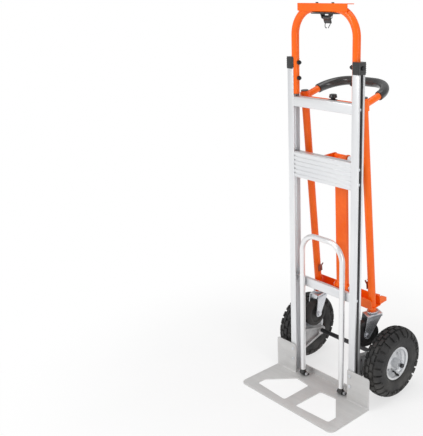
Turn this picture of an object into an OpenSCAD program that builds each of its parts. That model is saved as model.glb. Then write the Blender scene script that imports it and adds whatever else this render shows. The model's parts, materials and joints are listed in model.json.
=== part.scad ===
// Convertible hand truck: an upright two-wheel truck with a loop handle, a folding nose loop and a
// caster frame that swings out behind it to make an assisted truck or a four-wheel platform.
// +X is the truck's left-to-right axis, +Y points rearward, +Z is up. The origin is on the ground,
// midway between the rails and in the plane of their front faces.

/* [Main frame] */
// Overall width across the two rails
frame_w = 314; // [300:1:330]
// Width of one rail, across the truck
rail_w = 27.6; // [27:0.1:30]
// Depth of one rail, front to back
rail_d = 29.5; // [29:0.1:32]
// Height of the rails' upper ends
rail_top = 1126; // [1100:1:1140]
// Height of the top crossbar's lower edge
top_bar_z = 1000; // [960:1:1005]
// Height of the middle panel's lower edge
panel_z = 759; // [740:1:762]
// Height of the middle panel
panel_h = 89; // [85:1:95]
// Height of the lower crossbar's lower edge
low_bar_z = 362; // [355:1:370]

/* [Toe plate] */
// Width of the toe plate
toe_w = 455; // [430:1:470]
// Reach of the toe plate in front of the rails
toe_reach = 188; // [150:1:200]
// Thickness of the toe plate
toe_t = 5; // [4:0.5:5]
// Height of the two side wings
wing_h = 119; // [90:1:130]

/* [Main wheels] */
// Diameter of the pneumatic tyres
wheel_d = 254; // [250:1:256]
// Width of the tyres
wheel_w = 76; // [70:1:80]
// Distance of each wheel's centre from the middle of the truck
wheel_x = 210; // [208:1:214]
// Distance of the axle behind the rails' front faces
axle_y = 138.5; // [138:0.5:142]
// Diameter of the axle
axle_d = 16; // [15:0.5:18]

/* [Loop handle] */
// Diameter of the loop handle's tube
loop_d = 25.4; // [24:0.1:25.4]
// Height of the top of the loop
loop_top = 1325; // [1315:1:1327]
// Radius of the loop's two bends
loop_bend = 84; // [80:1:90]

/* [Nose loop] */
// Diameter of the nose loop's tube
nose_d = 19; // [17:0.5:19]
// Distance of each leg from the middle
nose_x = 95; // [90:1:98]
// Height of the top of the raised nose loop
nose_top = 573; // [540:1:580]
// Radius of the nose loop's two bends
nose_bend = 65; // [50:1:75]

/* [Caster frame] */
// Distance of each post from the middle
post_x = 131; // [131:0.5:134]
// Diameter of the posts
post_d = 26; // [24:0.5:27]
// Forward lean of the stowed posts, in degrees
lean = 5.26; // [5:0.01:5.5]
// Width of the folding strut
strut_w = 50; // [44:1:50]
// Thickness of the folding strut
strut_t = 12; // [10:1:12]
// Diameter of the grip loop's tube
grip_d = 22; // [20:1:24]
// Reach of the grip loop behind the posts
grip_reach = 160; // [140:1:165]

/* [Casters] */
// Diameter of the caster wheels
caster_d = 100; // [90:1:100]
// Width of the caster wheels
caster_w = 30; // [26:1:31]
// Offset of a caster's axle from its swivel
trail = 34; // [28:1:36]
// Turn of the left caster from straight forward, in degrees
left_turn = 4; // [0:1:8]
// Turn of the right caster from straight forward, in degrees
right_turn = -22; // [-24:1:0]

/* [Hidden] */
$fn = 64;

// running clearance of a pin in its hole, on the radius
fit = 0.06;
// gap that separates touching parts of one assembly
gap = 0.15;
rail_in = frame_w / 2 - rail_w;
rail_wall = 1.9;
channel_depth = 17.8;
groove_z = 13;
groove_depth = 7.8;
bar_end = rail_in + channel_depth - 0.6;
bar_h = 33;
bar_front = 0.8;
bar_back = rail_d - 2.4;

loop_x = rail_in + 3.4;
loop_y = rail_d / 2;
loop_foot = top_bar_z + bar_h + 8;
loop_line = loop_top - loop_d / 2;
bolt_low_z = 1092;
bolt_high_z = 1142;
cap_z = rail_top - 4;
cap_h = 38;

nose_y = 2;
nose_pivot_z = toe_t + nose_d / 2 + 1.5;
nose_line = nose_top - nose_d / 2;
nose_pin_d = 8;

// the hinge of the strut on the truck, and the middle of the posts' feet, as [Y, Z]
strut_a = [96, 832];
foot_origin = [116.9, 360];
// the strut's lower hinge, in the leaning caster frame: distance behind the posts' centre line
hinge_n = -6.9;
strut_b = [foot_origin[0] + hinge_n * cos(lean), foot_origin[1] + hinge_n * sin(lean)];
strut_len = norm(strut_a - strut_b);
strut_lean = atan((strut_b[0] - strut_a[0]) / (strut_a[1] - strut_b[1]));
hinge_pin_d = 12;
barrel_d = 21;
barrel_w = strut_w + 4;
ear_in = barrel_w / 2 + 1;
ear_t = 4;

post_foot = -57;
post_head = 689;
collar_d = 33;
collar_low = 650;
collar_h = 34;
beam_low = -43;
beam_high = -6;
beam_front = -23;
beam_back = 25;
grip_z = 669;
grip_half = 134.5;
grip_rise = 12.5;
grip_bend = 92;

mount_z = post_foot - 4;
fork_top = mount_z - 4.6;
caster_axle_z = -139;
fork_gap = caster_w / 2 + 3.5;
fork_t = 3;
caster_pin_d = 10;
stem_d = 12;
rim_d = 122;
rim_lip = 23;
hub_d = 34;

// ---------------------------------------------------------------- shared shapes

// the same thing on both sides of the truck
module both_sides() {
    children();
    mirror([1, 0, 0]) children();
}

// a cylinder along X, centred on its middle
module bar_x(d, length) {
    rotate([0, 90, 0]) cylinder(d = d, h = length, center = true);
}

// a cylinder along Y, from y0 to y1
module bar_y(d, y0, y1) {
    translate([0, y0, 0]) rotate([-90, 0, 0]) cylinder(d = d, h = y1 - y0);
}

// a flat outline drawn in Y (first) and Z (second), given a thickness along X from x0 to x1
module plate_yz(x0, x1) {
    translate([x0, 0, 0]) rotate([90, 0, 90]) linear_extrude(x1 - x0) children();
}

// a flat outline drawn in X (first) and Z (second), given a thickness along Y from y0 to y1
module plate_xz(y0, y1) {
    translate([0, y1, 0]) rotate([90, 0, 0]) linear_extrude(y1 - y0) children();
}

// a rectangle with round corners
module round_rect(w, h, r) {
    union() {
        square([w - 2 * r, h], center = true);
        square([w, h - 2 * r], center = true);
        for (sx = [-1, 1]) for (sy = [-1, 1])
            translate([sx * (w / 2 - r), sy * (h / 2 - r)]) circle(r);
    }
}

// a ring standing on Z = 0
module ring(od, id, h) {
    difference() {
        cylinder(d = od, h = h);
        translate([0, 0, -1]) cylinder(d = id, h = h + 2);
    }
}

// an upside-down U of round bar in the X-Z plane
module tube_arch(x, foot, line, bend, d) {
    both_sides() {
        translate([x, 0, foot]) cylinder(d = d, h = line - bend - foot);
        translate([x - bend, 0, line - bend]) rotate([90, 0, 0])
            rotate_extrude(angle = 90) translate([bend, 0]) circle(d = d);
    }
    translate([0, 0, line]) bar_x(d, 2 * (x - bend));
}

// moves children from the caster frame's own axes (posts upright) to the leaning stowed position
module stowed() {
    translate([0, foot_origin[0], foot_origin[1]]) rotate([lean, 0, 0]) children();
}

// a hexagon nut or bolt head along X, from x0 to x1
module hex_x(across, x0, x1) {
    translate([x0, 0, 0]) rotate([0, 90, 0]) cylinder(d = across / cos(30), h = x1 - x0, $fn = 6);
}

// ---------------------------------------------------------------- main frame

// rail section in X and Y, for the rail on the +X side: a channel open towards the middle and a
// T-slot along the outer face
module rail_section() {
    difference() {
        translate([rail_in, 0]) square([rail_w, rail_d]);
        translate([rail_in - 1, rail_wall]) square([channel_depth + 1, rail_d - 2 * rail_wall]);
        translate([frame_w / 2 - groove_depth, (rail_d - groove_z) / 2 - 2])
            square([groove_depth - 3, groove_z + 4]);
        translate([frame_w / 2 - groove_depth, (rail_d - groove_z) / 2])
            square([groove_depth + 1, groove_z]);
    }
}

module right_rail() {
    color("gainsboro") difference() {
        translate([0, 0, toe_t + gap]) linear_extrude(rail_top - toe_t - gap) rail_section();
        for (z = screw_heights()) translate([frame_w / 2, rail_d / 2, z]) bar_x(5, 40);
        translate([frame_w / 2, loop_y, bolt_low_z]) bar_x(8.2, 60);
        translate([frame_w / 2 - 10, 0, axle_bolt_z(0)]) bar_y(8.2, rail_d - 5, rail_d + 1);
        translate([frame_w / 2 - 10, 0, axle_bolt_z(1)]) bar_y(8.2, rail_d - 5, rail_d + 1);
        translate([rail_in + 12, -1, 60]) bar_y(6.2, 0, 4);
        translate([rail_in + 12, -1, 100]) bar_y(6.2, 0, 4);
    }
}

module left_rail() {
    mirror([1, 0, 0]) right_rail();
}

// heights of the screws that hold the crossbars
function screw_heights() = [
    top_bar_z + bar_h / 2, panel_z + 20, panel_z + panel_h - 20, low_bar_z + bar_h / 2];

// heights of the two bolts in each axle bracket
function axle_bolt_z(i) = 102 + 44 * i;

// ribbed cap over each rail's upper end, open towards the middle for the handle's leg
module rail_caps() {
    color("#1c1c1e") both_sides() difference() {
        union() {
            translate([frame_w / 2 - 12.6, rail_d / 2, cap_z]) linear_extrude(cap_h)
                round_rect(29.6, rail_d + 4, 4);
            for (i = [0:4]) translate([frame_w / 2 - 12.6, rail_d / 2, cap_z + 6 + 6 * i])
                linear_extrude(2.4) round_rect(31.4, rail_d + 5.8, 5);
        }
        translate([rail_in - 3, -gap, cap_z - 1]) cube([rail_w + 3 + gap, rail_d + 2 * gap, 5 + gap]);
        translate([loop_x, loop_y, cap_z - 1]) cylinder(d = loop_d + 0.4, h = cap_h + 2);
        translate([rail_in - 8, loop_y - loop_d / 2 - 0.2, cap_z - 1])
            cube([loop_x - rail_in + 8, loop_d + 0.4, cap_h + 2]);
        translate([loop_x, loop_y, bolt_high_z]) bar_x(8.2, 70);
    }
}

// hollow crossbar that reaches into both rail channels
module crossbar(z, front) {
    translate([0, 0, z]) difference() {
        union() {
            plate_yz(-rail_in + gap, rail_in - gap)
                translate([(front + bar_back) / 2, bar_h / 2]) round_rect(bar_back - front, bar_h, 3);
            plate_yz(-bar_end, bar_end)
                translate([front + 3, 4]) square([bar_back - front - 3, bar_h - 8]);
        }
        plate_yz(-200, 200) translate([(front + 3 + bar_back) / 2, bar_h / 2])
            round_rect(bar_back - front - 8, bar_h - 12, 2);
    }
}

module top_crossbar() {
    color("gainsboro") difference() {
        crossbar(top_bar_z, bar_front);
        translate([0, 0, top_bar_z + bar_h / 2]) for (s = [-1, 1])
            translate([24 * s, 0, 0]) bar_y(5.2, bar_back - 6, bar_back + 2);
    }
}

module lower_crossbar() {
    color("gainsboro") crossbar(low_bar_z, nose_y + nose_d / 2 + 1.5);
}

// ribbed panel with a flange along its top and bottom
module middle_panel() {
    ribs = 6;
    pitch = panel_h / ribs;
    color("gainsboro") difference() {
        union() {
            translate([0, 0, panel_z]) plate_yz(-rail_in + gap, rail_in - gap) union() {
                translate([bar_front + 1.5, 0]) square([3, panel_h]);
                translate([bar_front + 1.5, 0]) square([bar_back - bar_front - 1.5, 3]);
                translate([bar_front + 1.5, panel_h - 3]) square([bar_back - bar_front - 1.5, 3]);
                for (i = [0:ribs - 1]) translate([bar_front, (i + 0.18) * pitch]) square([2, pitch * 0.64]);
            }
            both_sides() {
                translate([rail_in - gap - 3, bar_front + 1.5, panel_z])
                    cube([3, bar_back - bar_front - 1.5, panel_h]);
                translate([rail_in - gap - 3, bar_back - 19, panel_z + 7])
                    cube([bar_end - rail_in + gap + 3, 14, panel_h - 14]);
            }
        }
        for (s = [-1, 1]) for (z = [22, panel_h - 22]) translate([20 * s, 0, panel_z + z])
            bar_y(5.2, 0, 8);
    }
}

// screws that hold the crossbars, with their heads in the rails' outer slots, and those that hold
// the strut bracket on the middle panel and the knob's bracket on the top crossbar
module crossbar_screws() {
    color("dimgray") both_sides() {
        for (z = screw_heights())
            translate([frame_w / 2 - groove_depth + 1.6, rail_d / 2, z]) difference() {
                bar_x(9, 3);
                translate([1, 0, 0]) hex_x(4, 0, 4);
            }
        for (z = [22, panel_h - 22]) translate([20, 0, panel_z + z]) {
            bar_y(5, bar_front + 4.8, bar_back + 4);
            bar_y(9, bar_back + 3.5, bar_back + 6.5);
        }
        translate([24, 0, top_bar_z + bar_h / 2]) {
            bar_y(5, bar_back - 3, bar_back + 4);
            bar_y(9, bar_back + 3.5, bar_back + 6);
        }
    }
}

// ---------------------------------------------------------------- toe plate

// outline of one cut-out on the +X side, in X and Y
module toe_cutout() {
    hull() for (p = [[38, -43], [95, -38], [169, -117], [169, -141], [36, -148]])
        translate(p) circle(9, $fn = 32);
}

module toe_plate() {
    corner = 22;
    color("silver") difference() {
        union() {
            linear_extrude(toe_t) union() {
                translate([-toe_w / 2, -toe_reach + corner]) square([toe_w, toe_reach - corner]);
                translate([-toe_w / 2 + corner, -toe_reach]) square([toe_w - 2 * corner, corner + 1]);
                for (s = [-1, 1]) translate([s * (toe_w / 2 - corner), -toe_reach + corner]) circle(corner);
                translate([-frame_w / 2, -1]) square([frame_w, 43]);
            }
            both_sides() plate_xz(-toe_t, -gap) translate([0, toe_t - 1]) difference() {
                translate([rail_in - 1, 0]) square([toe_w / 2 - rail_in + 1, wing_h - toe_t + 1]);
                translate([toe_w / 2 - 8, wing_h - toe_t - 7]) difference() {
                    square([9, 9]);
                    circle(8);
                }
            }
            translate([-rail_in + 2, 37, toe_t - 1]) cube([2 * rail_in - 4, 5, 20]);
        }
        both_sides() translate([0, 0, -1]) linear_extrude(toe_t + 2) toe_cutout();
        both_sides() translate([rail_in + 12, 0, 0]) {
            translate([0, 0, 60]) bar_y(6.2, -toe_t - 1, 1);
            translate([0, 0, 100]) bar_y(6.2, -toe_t - 1, 1);
        }
    }
}

// round-headed bolts that hold the wings to the rails
module toe_plate_bolts() {
    color("silver") both_sides() for (z = [60, 100]) translate([rail_in + 12, 0, z]) {
        bar_y(6, -toe_t - 0.5, 1.5);
        bar_y(12, -toe_t - 3, -toe_t);
    }
}

// ---------------------------------------------------------------- axle and main wheels

// cast bracket from the back of the rail to the axle, lightened by a pocket in its inner face
module right_axle_bracket() {
    inner = rail_in + 2;
    outer = frame_w / 2 - 2;
    boss = 17;
    color("darkgray") difference() {
        union() {
            plate_yz(inner + 8, inner + 16) hull() {
                translate([rail_d + gap, 78]) square([2, 88]);
                translate([axle_y, wheel_d / 2]) circle(boss, $fn = 32);
            }
            plate_yz(inner, outer) hull() {
                translate([rail_d + gap, 158]) square([2, 8]);
                translate([axle_y - 4, wheel_d / 2 + boss - 5]) circle(4, $fn = 32);
            }
            plate_yz(inner, outer) hull() {
                translate([rail_d + gap, 78]) square([2, 8]);
                translate([axle_y - 4, wheel_d / 2 - boss + 5]) circle(4, $fn = 32);
            }
            translate([inner, rail_d + gap, 78]) cube([outer - inner, 8, 88]);
            translate([(inner + outer) / 2, axle_y, wheel_d / 2]) bar_x(2 * boss, outer - inner);
        }
        translate([(inner + outer) / 2, axle_y, wheel_d / 2]) bar_x(axle_d + 0.1, 60);
        for (i = [0, 1]) translate([frame_w / 2 - 10, 0, axle_bolt_z(i)]) {
            bar_y(8.2, rail_d - 1, rail_d + 12);
            bar_y(15, rail_d + 8 + gap, rail_d + 15);
        }
    }
}

module left_axle_bracket() {
    mirror([1, 0, 0]) right_axle_bracket();
}

module bracket_bolts() {
    color("dimgray") both_sides() for (i = [0, 1]) translate([frame_w / 2 - 10, 0, axle_bolt_z(i)]) {
        bar_y(8, rail_d - 1.5, rail_d + 9);
        bar_y(14, rail_d + 8 + gap + 0.1, rail_d + 14);
    }
}

axle_end = wheel_x + 50;

module axle() {
    color("#3a3d41") difference() {
        translate([0, axle_y, wheel_d / 2]) bar_x(axle_d, 2 * axle_end);
        for (s = [-1, 1]) translate([s * (axle_end - 5), axle_y, wheel_d / 2 - 12]) cylinder(d = 4.2, h = 24);
    }
}

// tubes inside the wheels and washers outside them
module axle_spacers() {
    color("silver") both_sides() translate([0, axle_y, wheel_d / 2]) rotate([0, 90, 0]) {
        translate([0, 0, frame_w / 2 - 2 + gap])
            ring(24, axle_d + 0.1, wheel_x - 40 - frame_w / 2 + 2 - 2 * gap);
        translate([0, 0, wheel_x + 40.3]) ring(30, axle_d + 0.1, 2.5);
    }
}

module cotter_pins() {
    color("silver") for (s = [-1, 1]) translate([s * (axle_end - 5), axle_y, wheel_d / 2]) {
        translate([0, 0, -13]) cylinder(d = 4, h = 26);
        translate([0, 0, 15]) rotate([0, 90, 0]) rotate_extrude() translate([3.2, 0]) circle(1);
    }
}

// tyre section, right half of the wheel's own profile: radius first, width second
module tyre_section() {
    half = wheel_w / 2;
    tread = wheel_d / 2;
    bead = rim_d / 2 - 4;
    difference() {
        hull() {
            translate([tread - 14, -half + 14]) circle(14);
            translate([tread - 14, half - 14]) circle(14);
            translate([tread - 1, 0]) square([2, wheel_w * 0.5], center = true);
            translate([bead + 14, -half + 18]) circle(14);
            translate([bead + 14, half - 18]) circle(14);
        }
        hull() {
            translate([tread - 28, 0]) circle(14);
            translate([bead, 0]) circle(16);
        }
        translate([bead - 31 + gap, 0]) square([62, wheel_w + 10], center = true);
        square([rim_d + 2 * gap, 2 * (rim_lip + 3 + gap)], center = true);
    }
}

module wheel_place(side) {
    translate([side * wheel_x, axle_y, wheel_d / 2]) rotate([0, 90 * side, 0]) children();
}

// the tyre, with shallow cross grooves in its tread
module tyre() {
    lugs = 20;
    difference() {
        rotate_extrude() tyre_section();
        for (i = [0:lugs - 1]) for (s = [-1, 1]) rotate([0, 0, i * 360 / lugs])
            translate([wheel_d / 2 + 1, 0, s * (wheel_w / 4 + 5)])
                cube([12, 7, wheel_w / 2 - 10], center = true);
    }
}

module left_tyre() {
    color("#1a1a1a") wheel_place(-1) tyre();
}

module right_tyre() {
    color("#1a1a1a") wheel_place(1) tyre();
}

// the valve's own axes, leaning outwards through the rim's dish
module valve_place() {
    rotate([0, 0, 10]) translate([rim_d / 2 - 15.5, 0, -1]) rotate([0, 12, 0]) children();
}

// pressed rim with a drop well, dished discs, holes and a hub tube; its outer side is +Z
module rim() {
    flange = rim_d / 2;
    difference() {
        union() {
            rotate_extrude() polygon([
                [flange - 4, -rim_lip - 3], [flange, -rim_lip - 3],
                [flange, -rim_lip], [flange - 5.5, -rim_lip], [flange - 6, -15],
                [flange - 14, -9], [flange - 14, 9], [flange - 6, 15],
                [flange - 5.5, rim_lip], [flange, rim_lip],
                [flange, rim_lip + 3], [flange - 4, rim_lip + 3],
                [flange - 8.5, rim_lip + 1], [flange - 9, 16.5],
                [flange - 17, 10], [flange - 17, 1.5], [hub_d / 2 + 6, 9], [hub_d / 2 - 1, 12],
                [hub_d / 2 - 1, -12], [hub_d / 2 + 6, -9], [flange - 17, -1.5], [flange - 17, -10],
                [flange - 9, -16.5], [flange - 8.5, -rim_lip - 1]]);
            translate([0, 0, -40 + 0.6]) cylinder(d = hub_d, h = 79.4);
        }
        translate([0, 0, -50]) cylinder(d = axle_d + 6, h = 100);
        for (s = [-1, 1]) translate([0, 0, s * 40 - 10]) cylinder(d = 28.1, h = 20);
        for (i = [0:3]) rotate([0, 0, 45 + 90 * i]) translate([(flange - 17 + hub_d / 2) / 2 + 2, 0, -30])
            cylinder(d = 9, h = 60);
        valve_place() cylinder(d = 9, h = 30);
    }
}

module left_rim() {
    color("whitesmoke") wheel_place(-1) rim();
}

module right_rim() {
    color("whitesmoke") wheel_place(1) rim();
}

// two ball bearings in the hub
module bearings() {
    for (s = [-1, 1]) translate([0, 0, s * 34.7 - 4.5]) ring(28, axle_d + 2 * fit, 9);
}

module left_bearings() {
    color("silver") wheel_place(-1) bearings();
}

module right_bearings() {
    color("silver") wheel_place(1) bearings();
}

module valve() {
    valve_place() translate([0, 0, 9]) cylinder(d = 8.4, h = 20);
}

module left_valve() {
    color("#222222") wheel_place(-1) valve();
}

module right_valve() {
    color("#222222") wheel_place(1) valve();
}

// ---------------------------------------------------------------- loop handle and its latch

module handle_loop() {
    color("orangered") difference() {
        translate([0, loop_y, 0]) tube_arch(loop_x, loop_foot, loop_line, loop_bend, loop_d);
        translate([0, loop_y, 0]) tube_arch(loop_x, loop_foot - 1, loop_line, loop_bend, loop_d - 4);
        both_sides() for (z = [bolt_low_z, bolt_high_z]) translate([loop_x, loop_y, z]) bar_x(8.2, 60);
        for (s = [-1, 1]) translate([s * 34, loop_y, loop_line]) cylinder(d = 5, h = 30);
    }
}

plate_half = 106;
plate_low = loop_top - 21;
plate_y = loop_y - loop_d / 2 - 2.4;

// angle plate over the front and the top of the loop
module handle_plate() {
    color("orangered") difference() {
        union() {
            plate_xz(plate_y, plate_y + 2.2) translate([0, (plate_low + loop_top + 2.6) / 2])
                round_rect(2 * plate_half, loop_top + 2.6 - plate_low, 3);
            translate([-plate_half, plate_y + 0.1, loop_top + gap]) cube([2 * plate_half, 31, 2.4]);
        }
        for (s = [-1, 1]) translate([s * 34, loop_y, loop_top - 5]) cylinder(d = 5, h = 20);
    }
}

// bolts through rail, cap and leg, and the two screws that hold the angle plate
module handle_bolts() {
    color("#2a2a2c") both_sides() {
        translate([34, loop_y, loop_top + 2.4 + gap + 0.1]) {
            cylinder(d = 9, h = 3);
            translate([0, 0, -4]) cylinder(d = 4.8, h = 5);
        }
        translate([0, loop_y, bolt_low_z]) {
            translate([(frame_w / 2 - groove_depth + loop_x - loop_d / 2 - 12) / 2 + 0.6, 0, 0])
                bar_x(8, frame_w / 2 - groove_depth - loop_x + loop_d / 2 + 12);
            translate([frame_w / 2 - groove_depth + 2.2, 0, 0]) bar_x(12, 4);
        }
        translate([0, loop_y, bolt_high_z]) {
            translate([(frame_w / 2 + 3 + loop_x - loop_d / 2 - 12) / 2, 0, 0])
                bar_x(8, frame_w / 2 + 3 - loop_x + loop_d / 2 + 12);
            translate([frame_w / 2 + 5.4, 0, 0]) bar_x(13, 3.2);
        }
    }
}

module handle_nuts() {
    color("#1c1c1e") both_sides() for (z = [bolt_low_z, bolt_high_z])
        translate([loop_x - loop_d / 2 - 0.4, loop_y, z]) difference() {
            hex_x(13, -7, 0);
            bar_x(8.1, 30);
        }
}

latch_strip_z = loop_line - loop_d / 2 - 3.8;
latch_y = loop_y + 9;
latch_z = latch_strip_z - 9;
latch_pin_d = 5;
latch_half = 15;
hook_d = 3;

// strip under the loop with two cheeks that carry the latch
module latch_housing() {
    color("#1c1c1e") difference() {
        union() {
            translate([-49, loop_y - 12, latch_strip_z]) cube([98, 30, 3.5]);
            both_sides() plate_yz(latch_half + 0.6, latch_half + 3.6) hull() {
                translate([latch_y - 11, latch_strip_z]) square([20, 2]);
                translate([latch_y, latch_z]) circle(6, $fn = 32);
            }
        }
        translate([0, latch_y, latch_z]) bar_x(latch_pin_d + 0.1, 80);
    }
}

module latch_pin() {
    color("silver") translate([0, latch_y, latch_z]) {
        bar_x(latch_pin_d, 2 * latch_half + 9);
        for (s = [-1, 1]) translate([s * (latch_half + 5.6), 0, 0]) bar_x(8, 3);
    }
}

// lever that turns on the pin; its tail hangs below the loop
module latch_lever() {
    color("#1c1c1e") translate([0, latch_y, latch_z]) difference() {
        union() {
            bar_x(10, 2 * latch_half);
            plate_yz(-latch_half + 1, latch_half - 1) hull() {
                translate([0, -2]) circle(3.4, $fn = 32);
                translate([5, -17]) circle(2.4, $fn = 32);
            }
        }
        bar_x(latch_pin_d + 2 * fit, 60);
        both_sides() translate([10, 5.5, -25]) cylinder(d = hook_d + 0.2, h = 13.1);
    }
}

// bent wire bail in the lever's tail
module latch_hook() {
    color("dimgray") translate([0, latch_y + 5.5, latch_z - 35]) {
        both_sides() {
            translate([10, 0, 0]) cylinder(d = hook_d, h = 23);
            translate([10, 0, 0]) sphere(d = hook_d);
        }
        bar_x(hook_d, 20);
    }
}

// ---------------------------------------------------------------- release knob

knob_y = 54;
shelf_z = 1028;
shelf_t = 2.5;
barrel_top = shelf_z + 12;
collar_z = shelf_z + 6.6;

// the plunger's axis, upright behind the top crossbar
module knob_place() {
    translate([0, knob_y, 0]) children();
}

// bent plate on the top crossbar with the plunger's barrel
module knob_bracket() {
    color("#1c1c1e") difference() {
        union() {
            translate([-30, bar_back + 0.2, top_bar_z + 5]) cube([60, 3, shelf_z + shelf_t - top_bar_z - 5]);
            translate([-11, bar_back + 0.2, shelf_z]) cube([22, knob_y - bar_back + 9, shelf_t]);
            knob_place() translate([0, 0, shelf_z]) cylinder(d = 16, h = barrel_top - shelf_z);
        }
        knob_place() {
            translate([0, 0, shelf_z - 1]) cylinder(d = 8 + 2 * fit, h = 30);
            translate([0, 0, shelf_z + shelf_t]) cylinder(d = 13, h = barrel_top - shelf_z - shelf_t - 1.5);
        }
        for (s = [-1, 1]) translate([24 * s, 0, top_bar_z + bar_h / 2]) bar_y(5.2, 20, 40);
    }
}

// plunger pin with its collar and a skirted knob, drawn lifted
module knob_plunger() {
    color("#141414") knob_place() {
        translate([0, 0, shelf_z - 0.5]) cylinder(d = 8, h = 19);
        translate([0, 0, collar_z]) cylinder(d = 12, h = 1.6);
        translate([0, 0, shelf_z + 7.5]) difference() {
            cylinder(d = 27, h = 12.5);
            translate([0, 0, -1]) cylinder(d = 18, h = 9.9);
            translate([0, 0, 12.5]) rotate_extrude() translate([13.5, 0]) circle(2.5);
        }
    }
}

// compression spring between the plunger's collar and the barrel's top
module plunger_spring() {
    wire = 1;
    color("silver") knob_place() for (i = [0, 1])
        translate([0, 0, collar_z + 1.65 + wire / 2 + i * 1.1])
            rotate_extrude() translate([5.2, 0]) circle(d = wire);
}

// ---------------------------------------------------------------- strut bracket on the truck

// base plate behind the middle panel with two ears that carry the strut's upper hinge
module strut_bracket() {
    color("orangered") difference() {
        union() {
            translate([-ear_in - ear_t, bar_back + 0.3, panel_z + 6])
                cube([2 * (ear_in + ear_t), 3, panel_h - 12]);
            both_sides() plate_yz(ear_in, ear_in + ear_t) hull() {
                translate([bar_back + 0.3, panel_z + 6]) square([1, panel_h - 12]);
                translate(strut_a) circle(13, $fn = 32);
            }
        }
        translate([0, strut_a[0], strut_a[1]]) bar_x(hinge_pin_d + 0.1, 120);
        for (s = [-1, 1]) for (z = [22, panel_h - 22]) translate([20 * s, 0, panel_z + z]) bar_y(5.2, 20, 40);
    }
}

module strut_top_pin() {
    color("silver") translate([0, strut_a[0], strut_a[1]]) {
        bar_x(hinge_pin_d, 2 * (ear_in + ear_t) + 1);
        for (s = [-1, 1]) translate([s * (ear_in + ear_t + 2.4), 0, 0]) bar_x(19, 4);
    }
}

// ---------------------------------------------------------------- nose loop

// U brackets on the toe plate that carry the nose loop's pivots
module nose_hinges() {
    side = nose_d / 2 + 3.2;
    color("#2a2a2c") both_sides() translate([nose_x, 0, 0]) difference() {
        for (s = [-1, 1]) translate([s * side - 1.5, 0, 0]) plate_yz(0, 3) hull() {
            translate([nose_y + 6, toe_t + gap]) square([12, 2]);
            translate([nose_y, nose_pivot_z]) circle(7, $fn = 32);
        }
        translate([0, nose_y, nose_pivot_z]) bar_x(nose_pin_d + 0.1, 60);
    }
}

module nose_pins() {
    color("silver") both_sides() translate([nose_x, nose_y, nose_pivot_z]) {
        bar_x(nose_pin_d, nose_d + 14);
        for (s = [-1, 1]) translate([s * (nose_d / 2 + 6.4), 0, 0]) bar_x(12, 2.6);
    }
}

module nose_loop() {
    color("whitesmoke") translate([0, nose_y, 0]) difference() {
        tube_arch(nose_x, nose_pivot_z + 16, nose_line, nose_bend, nose_d);
        tube_arch(nose_x, nose_pivot_z + 15, nose_line, nose_bend, nose_d - 4);
    }
}

// moulded feet plugged into the loop's legs
module nose_feet() {
    color("#1c1c1e") both_sides() translate([nose_x, nose_y, nose_pivot_z]) difference() {
        union() {
            bar_x(nose_d - 1, nose_d - 1);
            cylinder(d = nose_d, h = 15.6);
            cylinder(d = nose_d - 4.2, h = 27);
        }
        bar_x(nose_pin_d + 2 * fit, 60);
    }
}

// ---------------------------------------------------------------- folding strut

module folding_strut() {
    color("orangered") translate([0, strut_a[0], strut_a[1]]) rotate([strut_lean, 0, 0]) difference() {
        union() {
            translate([-strut_w / 2, -strut_t / 2, -strut_len + 4]) cube([strut_w, strut_t, strut_len - 8]);
            for (z = [0, -strut_len]) translate([0, 0, z]) bar_x(barrel_d, barrel_w);
        }
        translate([-strut_w / 2 + 3, -strut_t / 2 + 3, -strut_len + 24])
            cube([strut_w - 6, strut_t, strut_len - 48]);
        for (z = [0, -strut_len]) translate([0, 0, z]) bar_x(hinge_pin_d + 4.1, barrel_w + 2);
    }
}

// bushes at both ends of the strut
module strut_bushes() {
    color("#d8d4c4") translate([0, strut_a[0], strut_a[1]]) rotate([strut_lean, 0, 0])
        for (z = [0, -strut_len]) for (s = [-1, 1]) translate([s * (barrel_w / 4 + 0.2), 0, z]) difference() {
            bar_x(hinge_pin_d + 4, barrel_w / 2 - 0.5);
            bar_x(hinge_pin_d + 2 * fit, barrel_w);
        }
}

// ---------------------------------------------------------------- caster frame

module right_post() {
    color("orangered") stowed() translate([post_x, 0, post_foot]) difference() {
        cylinder(d = post_d, h = post_head - post_foot);
        translate([0, 0, -1]) cylinder(d = post_d - 4, h = post_head - post_foot + 2);
    }
}

module left_post() {
    mirror([1, 0, 0]) right_post();
}

module post_caps() {
    color("#241c1a") stowed() both_sides() translate([post_x, 0, post_head]) {
        translate([0, 0, gap]) cylinder(d = post_d, h = 3);
        translate([0, 0, -10]) cylinder(d = post_d - 4.2, h = 11);
    }
}

// folded channel between the posts, with collars around them and a hole for the knob's plunger
module top_crossmember() {
    wall = 3;
    low = 642;
    high = 669;
    color("orangered") stowed() difference() {
        union() {
            difference() {
                translate([-post_x, -15, low]) cube([2 * post_x, 30, high - low]);
                translate([-post_x - 1, -15 + wall, low - 1])
                    cube([2 * post_x + 2, 30, high - low + 1 - wall]);
                translate([-34, -20, low + 8]) cube([68, 10, 10]);
            }
            both_sides() translate([post_x, 0, collar_low]) cylinder(d = collar_d, h = collar_h);
        }
        translate([0, -1.6, high - 10]) cylinder(d = 9.6, h = 20);
        both_sides() {
            translate([post_x, 0, low - 1]) cylinder(d = post_d + 0.1, h = collar_h + 20);
            translate([grip_half, 0, grip_z]) rotate([grip_rise, 0, 0]) bar_y(grip_d + 0.1, 0, 60);
        }
    }
}

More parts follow.
